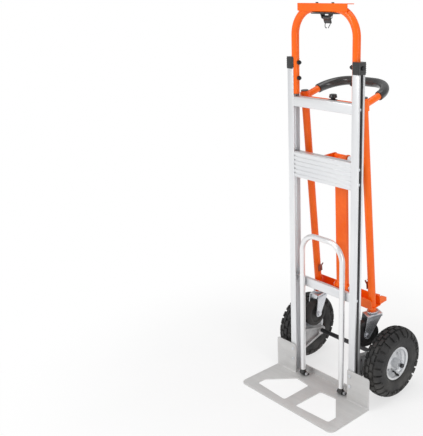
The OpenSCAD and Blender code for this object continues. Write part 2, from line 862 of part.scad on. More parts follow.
// open-topped channel between the posts' feet, cut away in front for the strut
module bottom_crossmember() {
    wall = 3;
    end = post_x + 17;
    color("orangered") stowed() difference() {
        union() {
            translate([-end, beam_front, beam_low]) cube([2 * end, beam_back - beam_front, wall]);
            for (y = [beam_front, beam_back - wall]) translate([-end, y, beam_low])
                cube([2 * end, wall, beam_high - beam_low]);
        }
        both_sides() translate([post_x, 0, -60]) cylinder(d = post_d + 0.1, h = 200);
        translate([-ear_in - ear_t - 6, beam_front - 1, -13]) cube([2 * (ear_in + ear_t + 6), wall + 2, 60]);
        both_sides() translate([end - 12, beam_front - 1, beam_high - 12]) difference() {
            cube([13, beam_back - beam_front + 2, 13]);
            translate([0, -1, 0]) bar_y(24, 0, beam_back - beam_front + 4);
        }
    }
}

// ears inside the channel that carry the strut's lower hinge
module strut_clevis() {
    color("orangered") stowed() both_sides() difference() {
        plate_yz(ear_in, ear_in + ear_t) hull() {
            translate([-18, beam_low + 3 + gap]) square([36, 2]);
            translate([hinge_n, 0]) circle(13, $fn = 32);
        }
        translate([0, hinge_n, 0]) bar_x(hinge_pin_d + 0.1, 120);
    }
}

module clevis_pin() {
    color("silver") stowed() translate([0, hinge_n, 0]) {
        bar_x(hinge_pin_d, 2 * (ear_in + ear_t) + 1);
        for (s = [-1, 1]) translate([s * (ear_in + ear_t + 2.4), 0, 0]) bar_x(19, 4);
    }
}

// folded step behind the channel's right end
module foot_pedal() {
    color("orangered") stowed()
        translate([post_x - 16, beam_back + gap, beam_low + 3]) difference() {
            cube([32, 34, 30]);
            translate([3, -1, 4]) cube([26, 50, 30]);
            plate_yz(-1, 34) polygon([[8, 31], [35, 31], [35, 14]]);
        }
}

// spring clips on the inner side of the posts that hold the stowed strut
module post_clips() {
    color("#5a1408") stowed() both_sides() translate([post_x - post_d / 2 - 3.4, 0, 24]) difference() {
        plate_xz(-9, 9) polygon([[0, 0], [3, 0], [3, 19], [-5, 32], [-7.6, 30.2], [0, 18]]);
        translate([-20, -4, 24]) cube([30, 8, 20]);
        translate([0, 0, 8]) bar_x(4, 20);
    }
}

// a D of round bar seen from above: the back, the two bends and, if asked for, the two straights
module grip_path(d, straights) {
    both_sides() {
        translate([grip_half - grip_bend, grip_reach - grip_bend, 0])
            rotate_extrude(angle = 90) translate([grip_bend, 0]) circle(d = d);
        if (straights) translate([grip_half, 0, 0]) bar_y(d, 0, grip_reach - grip_bend);
    }
    translate([0, grip_reach, 0]) bar_x(d, 2 * (grip_half - grip_bend));
}

module grip_loop() {
    color("orangered") stowed() difference() {
        translate([0, 0, grip_z]) rotate([grip_rise, 0, 0]) difference() {
            grip_path(grip_d, true);
            grip_path(grip_d - 4, true);
        }
        both_sides() translate([post_x, 0, collar_low - 30]) cylinder(d = post_d + 1.6, h = 120);
    }
}

module grip_foam() {
    color("#141414") stowed() translate([0, 0, grip_z]) rotate([grip_rise, 0, 0]) difference() {
        grip_path(grip_d + 9, false);
        grip_path(grip_d + 0.2, true);
    }
}

// ---------------------------------------------------------------- casters

module caster_mounts() {
    color("silver") stowed() both_sides() translate([post_x, 0, 0]) {
        translate([0, 0, mount_z]) cylinder(d = 40, h = -mount_z + post_foot - gap);
        translate([0, 0, fork_top + 0.3]) cylinder(d = 27, h = mount_z - fork_top);
        translate([0, 0, mount_z - 20]) cylinder(d = stem_d, h = 22);
        translate([0, 0, mount_z - 22]) cylinder(d = 18, h = 5);
        translate([0, 0, post_foot - 1]) cylinder(d = post_d - 4.2, h = 26);
    }
}

// a caster's own axes: origin on the swivel at the frame's level, wheel forward of it
module caster_place(side) {
    turn = side < 0 ? left_turn : right_turn;
    stowed() translate([side * post_x, 0, 0]) rotate([0, 0, turn]) children();
}

module fork() {
    leg = fork_gap + fork_t;
    difference() {
        union() {
            translate([-leg, -30, fork_top - 4]) cube([2 * leg, 58, 4]);
            translate([0, 0, fork_top - 12]) cylinder(d = 36, h = 9);
            both_sides() plate_yz(fork_gap, leg) hull() {
                translate([-30, fork_top - 4]) square([58, 3]);
                translate([-trail, caster_axle_z]) circle(13, $fn = 32);
            }
        }
        translate([0, 0, fork_top - 30]) cylinder(d = stem_d + 2 * fit, h = 60);
        translate([0, 0, fork_top - 30]) cylinder(d = 19, h = 19.2);
        translate([0, -trail, caster_axle_z]) bar_x(caster_pin_d + 0.1, 100);
    }
}

module left_fork() {
    color("lightgray") caster_place(-1) fork();
}

module right_fork() {
    color("lightgray") caster_place(1) fork();
}

module caster_wheel() {
    half = caster_w / 2;
    rotate([0, 90, 0]) rotate_extrude() polygon([
        [caster_pin_d / 2 + fit, -half - 2], [11, -half - 2], [13, -half + 3],
        [caster_d / 2 - 18, -half + 5], [caster_d / 2 - 14, -half + 1],
        [caster_d / 2 - 4, -half + 1], [caster_d / 2 - 1, -half + 5],
        [caster_d / 2, 0], [caster_d / 2 - 1, half - 5], [caster_d / 2 - 4, half - 1],
        [caster_d / 2 - 14, half - 1], [caster_d / 2 - 18, half - 5], [13, half - 3], [11, half + 2],
        [caster_pin_d / 2 + fit, half + 2]]);
}

module left_caster_wheel() {
    color("#1c1c1e") caster_place(-1) translate([0, -trail, caster_axle_z]) caster_wheel();
}

module right_caster_wheel() {
    color("#1c1c1e") caster_place(1) translate([0, -trail, caster_axle_z]) caster_wheel();
}

// axle bolt with its head and nut
module caster_bolt() {
    leg = fork_gap + fork_t;
    translate([0, -trail, caster_axle_z]) {
        bar_x(caster_pin_d, 2 * leg + 4);
        hex_x(16, leg + 0.2, leg + 6);
        rotate([0, 0, 180]) hex_x(16, leg + 0.2, leg + 7);
    }
}

module caster_bolts_left() {
    color("silver") caster_place(-1) caster_bolt();
}

module caster_bolts_right() {
    color("silver") caster_place(1) caster_bolt();
}

// ---------------------------------------------------------------- what is drawn

left_rail();
right_rail();
rail_caps();
top_crossbar();
middle_panel();
lower_crossbar();
crossbar_screws();
toe_plate();
toe_plate_bolts();
left_axle_bracket();
right_axle_bracket();
bracket_bolts();
axle();
axle_spacers();
cotter_pins();
handle_loop();
handle_plate();
handle_bolts();
handle_nuts();
latch_housing();
latch_pin();
latch_lever();
latch_hook();
knob_bracket();
knob_plunger();
plunger_spring();
strut_bracket();
strut_top_pin();
nose_hinges();
nose_pins();
nose_loop();
nose_feet();
folding_strut();
strut_bushes();
left_post();
right_post();
post_caps();
top_crossmember();
bottom_crossmember();
strut_clevis();
clevis_pin();
foot_pedal();
post_clips();
grip_loop();
grip_foam();
caster_mounts();
left_fork();
right_fork();
left_caster_wheel();
right_caster_wheel();
caster_bolts_left();
caster_bolts_right();
left_tyre();
right_tyre();
left_rim();
right_rim();
left_bearings();
right_bearings();
left_valve();
right_valve();
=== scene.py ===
"""Finished looks of the convertible hand truck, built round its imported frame.

Each sub-assembly is a class. Its fields are its sizes, in the unit that its docstring gives. Its
methods work out the surfaces of its pieces, dress them in a finish and hang them on the body that
carries them.
The truck stands upright: +X is across it, +Y points rearward and +Z is up.
"""

import json
import logging
import math
from dataclasses import dataclass, field, replace
from enum import Enum

import bmesh
import bpy
import numpy as np
from mathutils import Matrix, Vector
from mathutils.geometry import tessellate_polygon

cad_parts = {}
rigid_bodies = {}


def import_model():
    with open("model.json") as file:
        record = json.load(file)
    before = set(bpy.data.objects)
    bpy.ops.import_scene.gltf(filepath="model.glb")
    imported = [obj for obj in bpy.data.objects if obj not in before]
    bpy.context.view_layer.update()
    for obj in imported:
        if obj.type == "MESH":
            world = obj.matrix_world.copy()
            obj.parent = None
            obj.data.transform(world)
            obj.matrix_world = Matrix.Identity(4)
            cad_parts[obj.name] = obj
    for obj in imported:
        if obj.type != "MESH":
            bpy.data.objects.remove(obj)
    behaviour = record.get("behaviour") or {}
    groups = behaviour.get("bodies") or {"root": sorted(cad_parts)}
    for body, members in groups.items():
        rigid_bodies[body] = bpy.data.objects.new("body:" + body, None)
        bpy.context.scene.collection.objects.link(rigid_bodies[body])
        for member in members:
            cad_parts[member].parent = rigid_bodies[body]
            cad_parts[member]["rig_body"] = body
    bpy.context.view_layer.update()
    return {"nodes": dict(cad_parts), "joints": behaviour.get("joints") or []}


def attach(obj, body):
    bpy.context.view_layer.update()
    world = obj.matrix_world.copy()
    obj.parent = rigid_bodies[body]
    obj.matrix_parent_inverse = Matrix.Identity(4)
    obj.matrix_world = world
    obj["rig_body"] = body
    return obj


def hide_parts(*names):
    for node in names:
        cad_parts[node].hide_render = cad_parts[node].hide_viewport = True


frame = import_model()

LOG = logging.getLogger("hand_truck")
MM = 0.001
Array = np.ndarray
Point = tuple[float, float]
Pair = tuple[float, float]
Colour = tuple[float, float, float]


# ---------------------------------------------------------------- axes and places


@dataclass(frozen=True)
class Axes:
    """A set of local axes in the truck's frame."""

    origin: tuple[float, float, float] = (0.0, 0.0, 0.0)
    u: tuple[float, float, float] = (1.0, 0.0, 0.0)
    v: tuple[float, float, float] = (0.0, 1.0, 0.0)
    w: tuple[float, float, float] = (0.0, 0.0, 1.0)

    def place(self, local: Array) -> Array:
        """Carry local points into the truck's frame.

        Args:
            local: Points along u, v and w, one a row.

        Returns:
            The same points in metres in the truck's frame.
        """
        return np.asarray(self.origin) + local @ np.stack([self.u, self.v, self.w])

    def inside(self, other: "Axes") -> "Axes":
        """Give these axes, which are written in another set, in the truck's frame.

        Args:
            other: The axes that these are written in.

        Returns:
            The combined axes.
        """
        turn = np.stack([other.u, other.v, other.w])
        parts = [tuple(np.asarray(part) @ turn) for part in (self.u, self.v, self.w)]
        return Axes(tuple(other.place(np.asarray(self.origin))), *parts)


SECTION_ALONG_X = Axes(u=(0, 1, 0), v=(0, 0, 1), w=(1, 0, 0))
SECTION_ALONG_Y = Axes(u=(1, 0, 0), v=(0, 0, 1), w=(0, -1, 0))
UPRIGHT = Axes()
JOINTS = {joint["name"]: joint for joint in frame["joints"]}


class Side(Enum):
    """The two sides of the truck, seen from in front of it."""

    LEFT = -1
    RIGHT = 1

    @property
    def word(self) -> str:
        """The side's name in lower case."""
        return self.name.lower()


def turned(axes: Axes, degrees: float) -> Axes:
    """Turn a set of axes about its own w.

    Args:
        axes: The axes to turn.
        degrees: The angle, right-handed about w.

    Returns:
        The turned axes.
    """
    angle = math.radians(degrees)
    cosine, sine = math.cos(angle), math.sin(angle)
    u, v = np.asarray(axes.u), np.asarray(axes.v)
    return Axes(axes.origin, tuple(cosine * u + sine * v), tuple(cosine * v - sine * u), axes.w)


def stowed_axes() -> Axes:
    """Work out the caster frame's own axes in its stowed place.

    Its w runs up the posts and v points rearward, square to them. The lean comes from the
    swivels' axis, and the origin lies on the swivels' line at the height of the strut's hinge.

    Returns:
        The axes, with the origin midway between the posts.
    """
    swivel = JOINTS["right_caster_swivel"]
    up = np.asarray(swivel["axis"])
    rear = np.array([0.0, up[2], -up[1]])
    foot = np.asarray(swivel["pos_m"])
    hinge = np.asarray(JOINTS["caster_frame_fold"]["pos_m"])
    origin = foot + up * float((hinge - foot) @ up)
    return Axes((0.0, *origin[1:]), (1.0, 0.0, 0.0), tuple(rear), tuple(up))


# ---------------------------------------------------------------- surfaces


@dataclass
class Surface:
    """Points and faces of one piece."""

    points: Array
    faces: list

    def placed(self, axes: Axes) -> "Surface":
        """Give the surface carried into the truck's frame."""
        return Surface(axes.place(self.points), self.faces)

    def mirrored(self) -> "Surface":
        """Give the surface on the other side of the truck."""
        return Surface(self.points * (-1.0, 1.0, 1.0), self.faces)

    def with_mirror(self) -> "Surface":
        """Give the surface together with its mirror image."""
        return joined(self, self.mirrored())


def joined(*surfaces: Surface) -> Surface:
    """Put several surfaces into one piece.

    Args:
        *surfaces: The surfaces, which may be separate shells.

    Returns:
        One surface.
    """
    starts = np.cumsum([0] + [len(one.points) for one in surfaces[:-1]]).tolist()
    faces = [[i + start for i in face] for one, start in zip(surfaces, starts) for face in one.faces]
    return Surface(np.concatenate([one.points for one in surfaces]), faces)


def grid_faces(rows: int, columns: int, wrap_rows: bool, wrap_columns: bool) -> list:
    """Join neighbouring points of a grid into quads.

    Args:
        rows: Number of rows of points.
        columns: Number of points in a row.
        wrap_rows: Whether the last row joins the first.
        wrap_columns: Whether each row's last point joins its first.

    Returns:
        Lists of four point numbers.
    """
    row = np.arange(rows if wrap_rows else rows - 1)
    column = np.arange(columns if wrap_columns else columns - 1)
    a, b = np.meshgrid(row, column, indexing="ij")
    c, d = (a + 1) % rows, (b + 1) % columns
    quads = np.stack([a * columns + b, a * columns + d, c * columns + d, c * columns + b], axis=-1)
    return quads.reshape(-1, 4).tolist()


def rounded(corners: list[Point], radii: float | list[float], steps: int = 4) -> Array:
    """Draw a closed outline whose corners are arcs.

    Each arc is tangent to its corner's two sides: it starts r / tan(half the corner's angle)
    from the corner, and its centre lies on the corner's bisector.

    Args:
        corners: The sharp corners in order.
        radii: One radius, or one for each corner.
        steps: Number of segments in each arc.

    Returns:
        The outline's points, one a row.
    """
    corner = np.asarray(corners, float)
    radius = np.broadcast_to(np.asarray(radii, float), (len(corner),))
    before, after = np.roll(corner, 1, axis=0) - corner, np.roll(corner, -1, axis=0) - corner
    reach = np.minimum(np.linalg.norm(before, axis=1), np.linalg.norm(after, axis=1)) * 0.49
    before /= np.linalg.norm(before, axis=1)[:, None]
    after /= np.linalg.norm(after, axis=1)[:, None]
    half = 0.5 * np.arccos(np.clip((before * after).sum(1), -1 + 1e-9, 1))
    start = np.minimum(radius / np.tan(half), reach)
    radius = start * np.tan(half)
    bisector = before + after
    bisector /= np.linalg.norm(bisector, axis=1)[:, None]
    centre = corner + bisector * (radius / np.sin(half))[:, None]
    first = corner + before * start[:, None] - centre
    last = corner + after * start[:, None] - centre
    sweep_angle = np.maximum(math.pi - 2 * half, 1e-6)[:, None, None]
    share = np.linspace(0, 1, steps + 1)[None, :, None]
    bow = np.sin((1 - share) * sweep_angle) * first[:, None] + np.sin(share * sweep_angle) * last[:, None]
    return (centre[:, None] + bow / np.sin(sweep_angle)).reshape(-1, 2)


def rounded_box(low: Point, high: Point, radius: float) -> Array:
    """Draw a rectangle with round corners between two opposite corners."""
    return rounded([low, (high[0], low[1]), high, (low[0], high[1])], radius)


def arc(centre: Point, radius: float, start: float, end: float, steps: int) -> Array:
    """Give points on a circle between two angles in degrees, both ends included."""
    angle = np.radians(np.linspace(start, end, steps + 1))
    return np.asarray(centre) + radius * np.stack([np.cos(angle), np.sin(angle)], axis=1)


def signed_area(outline: Array) -> float:
    """Give an outline's area, positive where it runs anticlockwise."""
    x, y = outline.T
    return 0.5 * float(np.sum(x * np.roll(y, -1) - y * np.roll(x, -1)))


def inset(outline: Array, distance: Array) -> Array:
    """Move an anticlockwise outline inwards.

    Every point moves along the mean of its two sides' left normals, far enough to keep both
    sides the given distance away.

    Args:
        outline: Points of a closed outline.
        distance: Distances in metres, one for each wanted outline.

    Returns:
        An array with one outline for each distance.
    """
    side = np.roll(outline, -1, axis=0) - outline
    normal = np.stack([-side[:, 1], side[:, 0]], axis=1)
    normal /= np.maximum(np.linalg.norm(normal, axis=1), 1e-12)[:, None]
    mean = normal + np.roll(normal, 1, axis=0)
    mean /= np.maximum((mean * mean).sum(1) / 2, 0.5)[:, None]
    return outline[None] + mean[None] * np.asarray(distance)[:, None, None]


def plate(outline: Array, low: float, high: float, edge: float, holes: tuple = ()) -> Surface:
    """Give a flat outline a thickness, with round edges on both faces.

    The wall is a grid: each row is the outline moved inwards by edge * (1 - sin) at the height
    edge * (1 - cos) above a face, so its corner is a quarter circle. Both faces are closed.

    Args:
        outline: The outer outline, in u and v.
        low: The lower face, along w.
        high: The upper face, along w.
        edge: The radius of the edges.
        holes: Outlines of holes through the plate.

    Returns:
        A closed surface.
    """
    quarter = np.linspace(0, math.pi / 2, 4)
    offset = edge * (1 - np.sin(quarter))
    rise = edge * (1 - np.cos(quarter))
    level = np.concatenate([low + rise, (high - rise)[::-1]])
    move = np.concatenate([offset, offset[::-1]])
    points, faces, rims, start = [], [], [], 0
    for number, loop in enumerate([outline, *holes]):
        ahead = signed_area(loop) > 0
        loop = loop if ahead == (number == 0) else loop[::-1]
        rings = inset(loop, move)
        height = np.broadcast_to(level[:, None, None], (len(level), len(loop), 1))
        points.append(np.concatenate([rings, height], axis=2).reshape(-1, 3))
        quads = np.asarray(grid_faces(len(level), len(loop), False, True)) + start
        faces += quads.tolist()
        rims.append((start, len(loop), rings[0]))
        start += len(level) * len(loop)
    loops = [[Vector((x, y, 0)) for x, y in ring] for _, _, ring in rims]
    numbers = np.concatenate([begin + np.arange(count) for begin, count, _ in rims])
    top_step = np.concatenate([np.full(count, (len(level) - 1) * count) for _, count, _ in rims])
    triangles = np.asarray(tessellate_polygon(loops))
    faces += numbers[triangles].tolist() + (numbers + top_step)[triangles][:, ::-1].tolist()
    return Surface(np.concatenate(points), faces)


def carried(path: Array, across: tuple, sections: Array) -> Array:
    """Set a section at every point of a path that lies in one plane.

    The section's first coordinate runs along the cross product of `across` and the path's
    direction, and its second along `across`.

    Args:
        path: The path's points.
        across: The direction square to the path's plane.
        sections: One section for the whole path, or one for each of its points.

    Returns:
        A grid of points, one row for each path point.
    """
    ahead = np.gradient(path, axis=0)
    side = np.cross(np.asarray(across, float), ahead)
    side /= np.linalg.norm(side, axis=1)[:, None]
    sections = np.broadcast_to(sections, (len(path), *sections.shape[-2:]))
    return path[:, None] + sections[..., :1] * side[:, None] + sections[..., 1:] * np.asarray(across)


def sweep(path: Array, across: tuple, sections: Array) -> Surface:
    """Carry a closed section along a flat path and close both ends.

    Args:
        path: The path's points.
        across: The direction square to the path's plane.
        sections: One section for the whole path, or one for each of its points.

    Returns:
        A closed surface.
    """
    points = carried(path, across, sections)
    rows, count = points.shape[:2]
    last = (rows - 1) * count
    ends = [list(range(count))[::-1], list(range(last, last + count))]
    return Surface(points.reshape(-1, 3), grid_faces(rows, count, False, True) + ends)


def circle(radius: float, sides: int) -> Array:
    """Give a circle's points."""
    return arc((0, 0), radius, 0, 360 - 360 / sides, sides - 1)


def tube(path: Array, across: tuple, outer: float | Array, inner: float, sides: int) -> Surface:
    """Make a hollow tube along a flat path.

    Its rings run out along the path at the outer radius and back at the inner one.

    Args:
        path: The tube's centre line.
        across: The direction square to the path's plane.
        outer: The outer radius, or one for each point of the path.
        inner: The inner radius.
        sides: Number of points round the tube.

    Returns:
        A closed surface.
    """
    radius = np.broadcast_to(np.asarray(outer, float), (len(path),))[:, None, None]
    outside = carried(path, across, radius * circle(1.0, sides))
    inside = carried(path, across, circle(inner, sides)[None])[::-1]
    points = np.concatenate([outside, inside])
    return Surface(points.reshape(-1, 3), grid_faces(len(points), sides, True, True))


def arch(x: float, foot: float, line: float, bend: float, steps: int) -> Array:
    """Draw the centre line of an upside-down U in x and z.

    Args:
        x: Distance of each leg from the middle.
        foot: Height of the legs' feet.
        line: Height of the top.
        bend: Radius of the two bends.
        steps: Segments in each bend.

    Returns:
        Points from the right foot to the left foot.
    """
    right = arc((x - bend, line - bend), bend, 0, 90, steps)
    left = right[::-1] * (-1, 1)
    flat = np.concatenate([[(x, foot)], right, left, [(-x, foot)]])
    return np.insert(flat, 1, 0.0, axis=1)


def lathe(profile: Array, axes: Axes, steps: int) -> Surface:
    """Turn a closed profile about an axis.

    A point at (radius, height) goes to radius * cos(angle), radius * sin(angle), height.

    Args:
        profile: Radius and height of each point. An end on the axis closes in a pole.
        axes: The axes whose w is the axis of the turning.
        steps: Number of copies of the profile round the axis.

    Returns:
        A closed surface.
    """
    angle = np.linspace(0, 2 * math.pi, steps, endpoint=False)[:, None]
    radius, height = profile[:, 0][None], profile[:, 1][None]
    points = np.stack(np.broadcast_arrays(radius * np.cos(angle), radius * np.sin(angle), height), axis=-1)
    ring = profile[:, 0].min() > 1e-7
    faces = grid_faces(steps, len(profile), True, ring)
    return Surface(points.reshape(-1, 3), faces).placed(axes)


def both_ways(half: list[Point]) -> Array:
    """Close half a profile with its mirror image below its middle plane."""
    upper = np.array(half)
    return np.concatenate([upper, upper[-2:0:-1] * (1, -1)])


def lengths_along(line: Array) -> Array:
    """Give each point's distance along a line of straights from its first point."""
    return np.concatenate([[0], np.cumsum(np.linalg.norm(np.diff(line, axis=0), axis=1))])


def interpolated(line: Array, along: Array, wanted: Array) -> Array:
    """Give the points at the wanted distances on a line, whose own points lie at `along`."""
    return np.stack([np.interp(wanted, along, column) for column in line.T], axis=1)


def resampled(line: Array, count: int) -> Array:
    """Space points evenly along a line, whose own points are joined by straights."""
    along = lengths_along(line)
    return interpolated(line, along, np.linspace(0, along[-1], count))


def relaxed(line: Array, passes: int) -> Array:
    """Round a line's corners, with its two ends held.

    Each pass moves every inner point to a half of itself plus a quarter of each neighbour.

    Args:
        line: The line's points, one a row.
        passes: How many times the points are moved.

    Returns:
        The rounded line.
    """
    line = line.copy()
    for _ in range(passes):
        line[1:-1] = 0.25 * line[:-2] + 0.5 * line[1:-1] + 0.25 * line[2:]
    return line


def smooth_step(value: Array, low: float, high: float) -> Array:
    """Rise from 0 at low to 1 at high, level at both ends."""
    share = np.clip((value - low) / (high - low), 0, 1)
    return share * share * (3 - 2 * share)


def cad_surface(node: str) -> Surface:
    """Take a clean copy of a frame node's shape.

    Doubled points are merged and flat neighbouring faces are joined, so that its real edges
    can be eased.

    Args:
        node: The node's name.

    Returns:
        The node's surface with its flat faces whole.
    """
    mesh = bmesh.new()
    mesh.from_mesh(frame["nodes"][node].data)
    bmesh.ops.remove_doubles(mesh, verts=mesh.verts, dist=2e-6)
    bmesh.ops.dissolve_degenerate(mesh, edges=mesh.edges, dist=1e-6)
    bmesh.ops.dissolve_limit(mesh, angle_limit=math.radians(0.4), verts=mesh.verts, edges=mesh.edges)
    mesh.verts.index_update()
    points = np.array([vert.co[:] for vert in mesh.verts])
    faces = [[vert.index for vert in face.verts] for face in mesh.faces]
    mesh.free()
    return Surface(points, faces)


# ---------------------------------------------------------------- finishes


class Pattern(Enum):
    """How a surface was made, which decides its grain.

    Each value is the grain's number of waves in a metre and its stretch along X, Y and Z.
    """

    DRAWN_UP = (900.0, (1.0, 1.0, 0.012))
    DRAWN_ACROSS = (900.0, (0.012, 1.0, 1.0))
    SHEET = (700.0, (0.06, 1.0, 1.0))
    CAST = (420.0, (1.0, 1.0, 1.0))
    POWDER = (520.0, (1.0, 1.0, 1.0))
    MOULDED = (650.0, (1.0, 1.0, 1.0))
    PLATED = (160.0, (1.0, 1.0, 1.0))
    FOAM = (900.0, (1.0, 1.0, 1.0))
    RUBBER = (480.0, (1.0, 1.0, 1.0))


@dataclass
class Wiring:
    """A node tree with short words to fill it."""

    tree: bpy.types.NodeTree

    def add(self, kind: str, inputs: dict | None = None, **settings: object) -> bpy.types.Node:
        """Add a node and fill its sockets.

        Args:
            kind: The node's type, without its prefix.
            inputs: Socket names or numbers, each with a value or a socket to join it to.
            **settings: The node's own properties.

        Returns:
            The new node.
        """
        node = self.tree.nodes.new("ShaderNode" + kind)
        for name, value in settings.items():
            setattr(node, name, value)
        for name, value in (inputs or {}).items():
            if isinstance(value, bpy.types.NodeSocket):
                self.tree.links.new(value, node.inputs[name])
            else:
                node.inputs[name].default_value = value
        return node

    def use(self, name: str, inputs: dict) -> bpy.types.Node:
        """Place a shared effect and fill its sockets."""
        return self.add("Group", inputs, node_tree=EFFECTS[name])

    def maths(self, operation: str, *values: object) -> bpy.types.NodeSocket:
        """Add a sum or other calculation and give its result."""
        node = self.add("Math", dict(enumerate(values)), operation=operation, use_clamp=False)
        return node.outputs[0]

    def ramp(self, value: object, low: float, high: float, first: float, last: float) -> bpy.types.NodeSocket:
        """Carry a value from one range to another, smoothly and held at both ends."""
        inputs = {"Value": value, "From Min": low, "From Max": high, "To Min": first, "To Max": last}
        return self.add("MapRange", inputs, interpolation_type="SMOOTHSTEP").outputs[0]

    def blend(self, share: object, first: object, second: object) -> bpy.types.NodeSocket:
        """Blend two colours."""
        node = self.add("Mix", {0: share, 6: first, 7: second}, data_type="RGBA")
        return node.outputs[2]

    def noise(self, place: object, size: object, detail: float = 3.0) -> bpy.types.NodeSocket:
        """Add noise at a place and give its height."""
        return self.add("TexNoise", {"Vector": place, "Scale": size, "Detail": detail}).outputs[0]


def effect(name: str, inputs: dict, outputs: dict) -> tuple[Wiring, dict, bpy.types.Node]:
    """Start a shared effect as a node group.

    Args:
        name: The effect's name.
        inputs: Socket names with their types and first values.
        outputs: Socket names with their types.

    Returns:
        The group's wiring, its input sockets by name, and its output node.
    """
    tree = bpy.data.node_groups.new(name, "ShaderNodeTree")
    for word, (kind, value) in inputs.items():
        made = tree.interface.new_socket(word, in_out="INPUT", socket_type="NodeSocket" + kind)
        made.default_value = value
    for word, kind in outputs.items():
        tree.interface.new_socket(word, in_out="OUTPUT", socket_type="NodeSocket" + kind)
    start = tree.nodes.new("NodeGroupInput")
    end = tree.nodes.new("NodeGroupOutput")
    return Wiring(tree), {socket.name: socket for socket in start.outputs if socket.name}, end


def close_effect(wiring: Wiring, end: bpy.types.Node, results: dict) -> bpy.types.NodeTree:
    """Join an effect's results to its outputs and give the group."""
    for word, socket in results.items():
        wiring.tree.links.new(socket, end.inputs[word])
    return wiring.tree


def grain_effect() -> bpy.types.NodeTree:
    """Make the height of a surface's grain.

    The height is a noise on the stretched place, plus a third of a noise three times as fine.

    Returns:
        The node group.
    """
    inputs = {"Size": ("Float", 500.0), "Stretch": ("Vector", (1.0, 1.0, 1.0))}
    wiring, given, end = effect("surface grain", inputs, {"Height": "Float"})
    place = wiring.add("TexCoord").outputs["Object"]
    stretched = wiring.add("VectorMath", {0: place, 1: given["Stretch"]}, operation="MULTIPLY").outputs[0]
    coarse = wiring.noise(stretched, given["Size"])
    fine = wiring.noise(stretched, wiring.maths("MULTIPLY", given["Size"], 3.1), 2.0)
    height = wiring.maths("MULTIPLY_ADD", fine, 0.33, coarse)
    return close_effect(wiring, end, {"Height": height})


def cell_effect() -> bpy.types.NodeTree:
    """Make the height of fine round cells, as on foam and moulded rubber.

    Returns:
        The node group.
    """
    wiring, given, end = effect("fine cells", {"Size": ("Float", 500.0)}, {"Height": "Float"})
    place = wiring.add("TexCoord").outputs["Object"]
    cells = wiring.add("TexVoronoi", {"Vector": place, "Scale": given["Size"]}, feature="SMOOTH_F1")
    soft = wiring.noise(place, wiring.maths("MULTIPLY", given["Size"], 0.3))
    height = wiring.maths("ADD", wiring.ramp(cells.outputs["Distance"], 0.05, 0.6, 0.0, 1.0), soft)
    return close_effect(wiring, end, {"Height": height})


def shading_effect() -> bpy.types.NodeTree:
    """Vary a colour slowly over a surface between two shades.

    Returns:
        The node group, which also gives the share of the second shade.
    """
    inputs = {
        "Colour": ("Color", (0.5, 0.5, 0.5, 1.0)),
        "Shade": ("Color", (0.4, 0.4, 0.4, 1.0)),
        "Size": ("Float", 8.0),
        "Stretch": ("Vector", (1.0, 1.0, 1.0)),
    }
    outputs = {"Colour": "Color", "Share": "Float"}
    wiring, given, end = effect("uneven colour", inputs, outputs)
    place = wiring.add("TexCoord").outputs["Object"]
    stretched = wiring.add("VectorMath", {0: place, 1: given["Stretch"]}, operation="MULTIPLY").outputs[0]
    broad = wiring.noise(stretched, given["Size"], 4.0)
    fine = wiring.noise(stretched, wiring.maths("MULTIPLY", given["Size"], 9.0), 2.0)
    mixed = wiring.maths("MULTIPLY_ADD", fine, 0.4, wiring.maths("MULTIPLY", broad, 0.6))
    share = wiring.ramp(mixed, 0.34, 0.66, 0.0, 1.0)
    colour = wiring.blend(share, given["Colour"], given["Shade"])
    return close_effect(wiring, end, {"Colour": colour, "Share": share})


def scuff_effect() -> bpy.types.NodeTree:
    """Draw thin rubbed streaks and small nicks over a colour.

    A streak shows where a stretched noise is near its middle and a broad noise is high.

    Returns:
        The node group, which also gives where the marks are.
    """
    inputs = {
        "Colour": ("Color", (0.5, 0.5, 0.5, 1.0)),
        "Mark": ("Color", (0.8, 0.8, 0.8, 1.0)),
        "Amount": ("Float", 0.5),
    }
    wiring, given, end = effect("scuffs", inputs, {"Colour": "Color", "Marks": "Float"})
    place = wiring.add("TexCoord").outputs["Object"]
    turned_place = {"Vector": place, "Rotation": (0.4, 0.3, 0.9), "Scale": (6.0, 90.0, 30.0)}
    lines = wiring.add("Mapping", turned_place).outputs[0]
    line = wiring.maths("ABSOLUTE", wiring.maths("SUBTRACT", wiring.noise(lines, 3.0), 0.5))
    where = wiring.ramp(wiring.noise(place, 14.0), 0.5, 0.72, 0.0, 1.0)
    streak = wiring.maths("MULTIPLY", wiring.ramp(line, 0.0, 0.02, 1.0, 0.0), where)
    nick = wiring.ramp(wiring.noise(place, 260.0, 1.0), 0.72, 0.78, 0.0, 1.0)
    marks = wiring.maths("MULTIPLY", wiring.maths("MAXIMUM", streak, nick), given["Amount"])
    colour = wiring.blend(marks, given["Colour"], given["Mark"])
    return close_effect(wiring, end, {"Colour": colour, "Marks": marks})


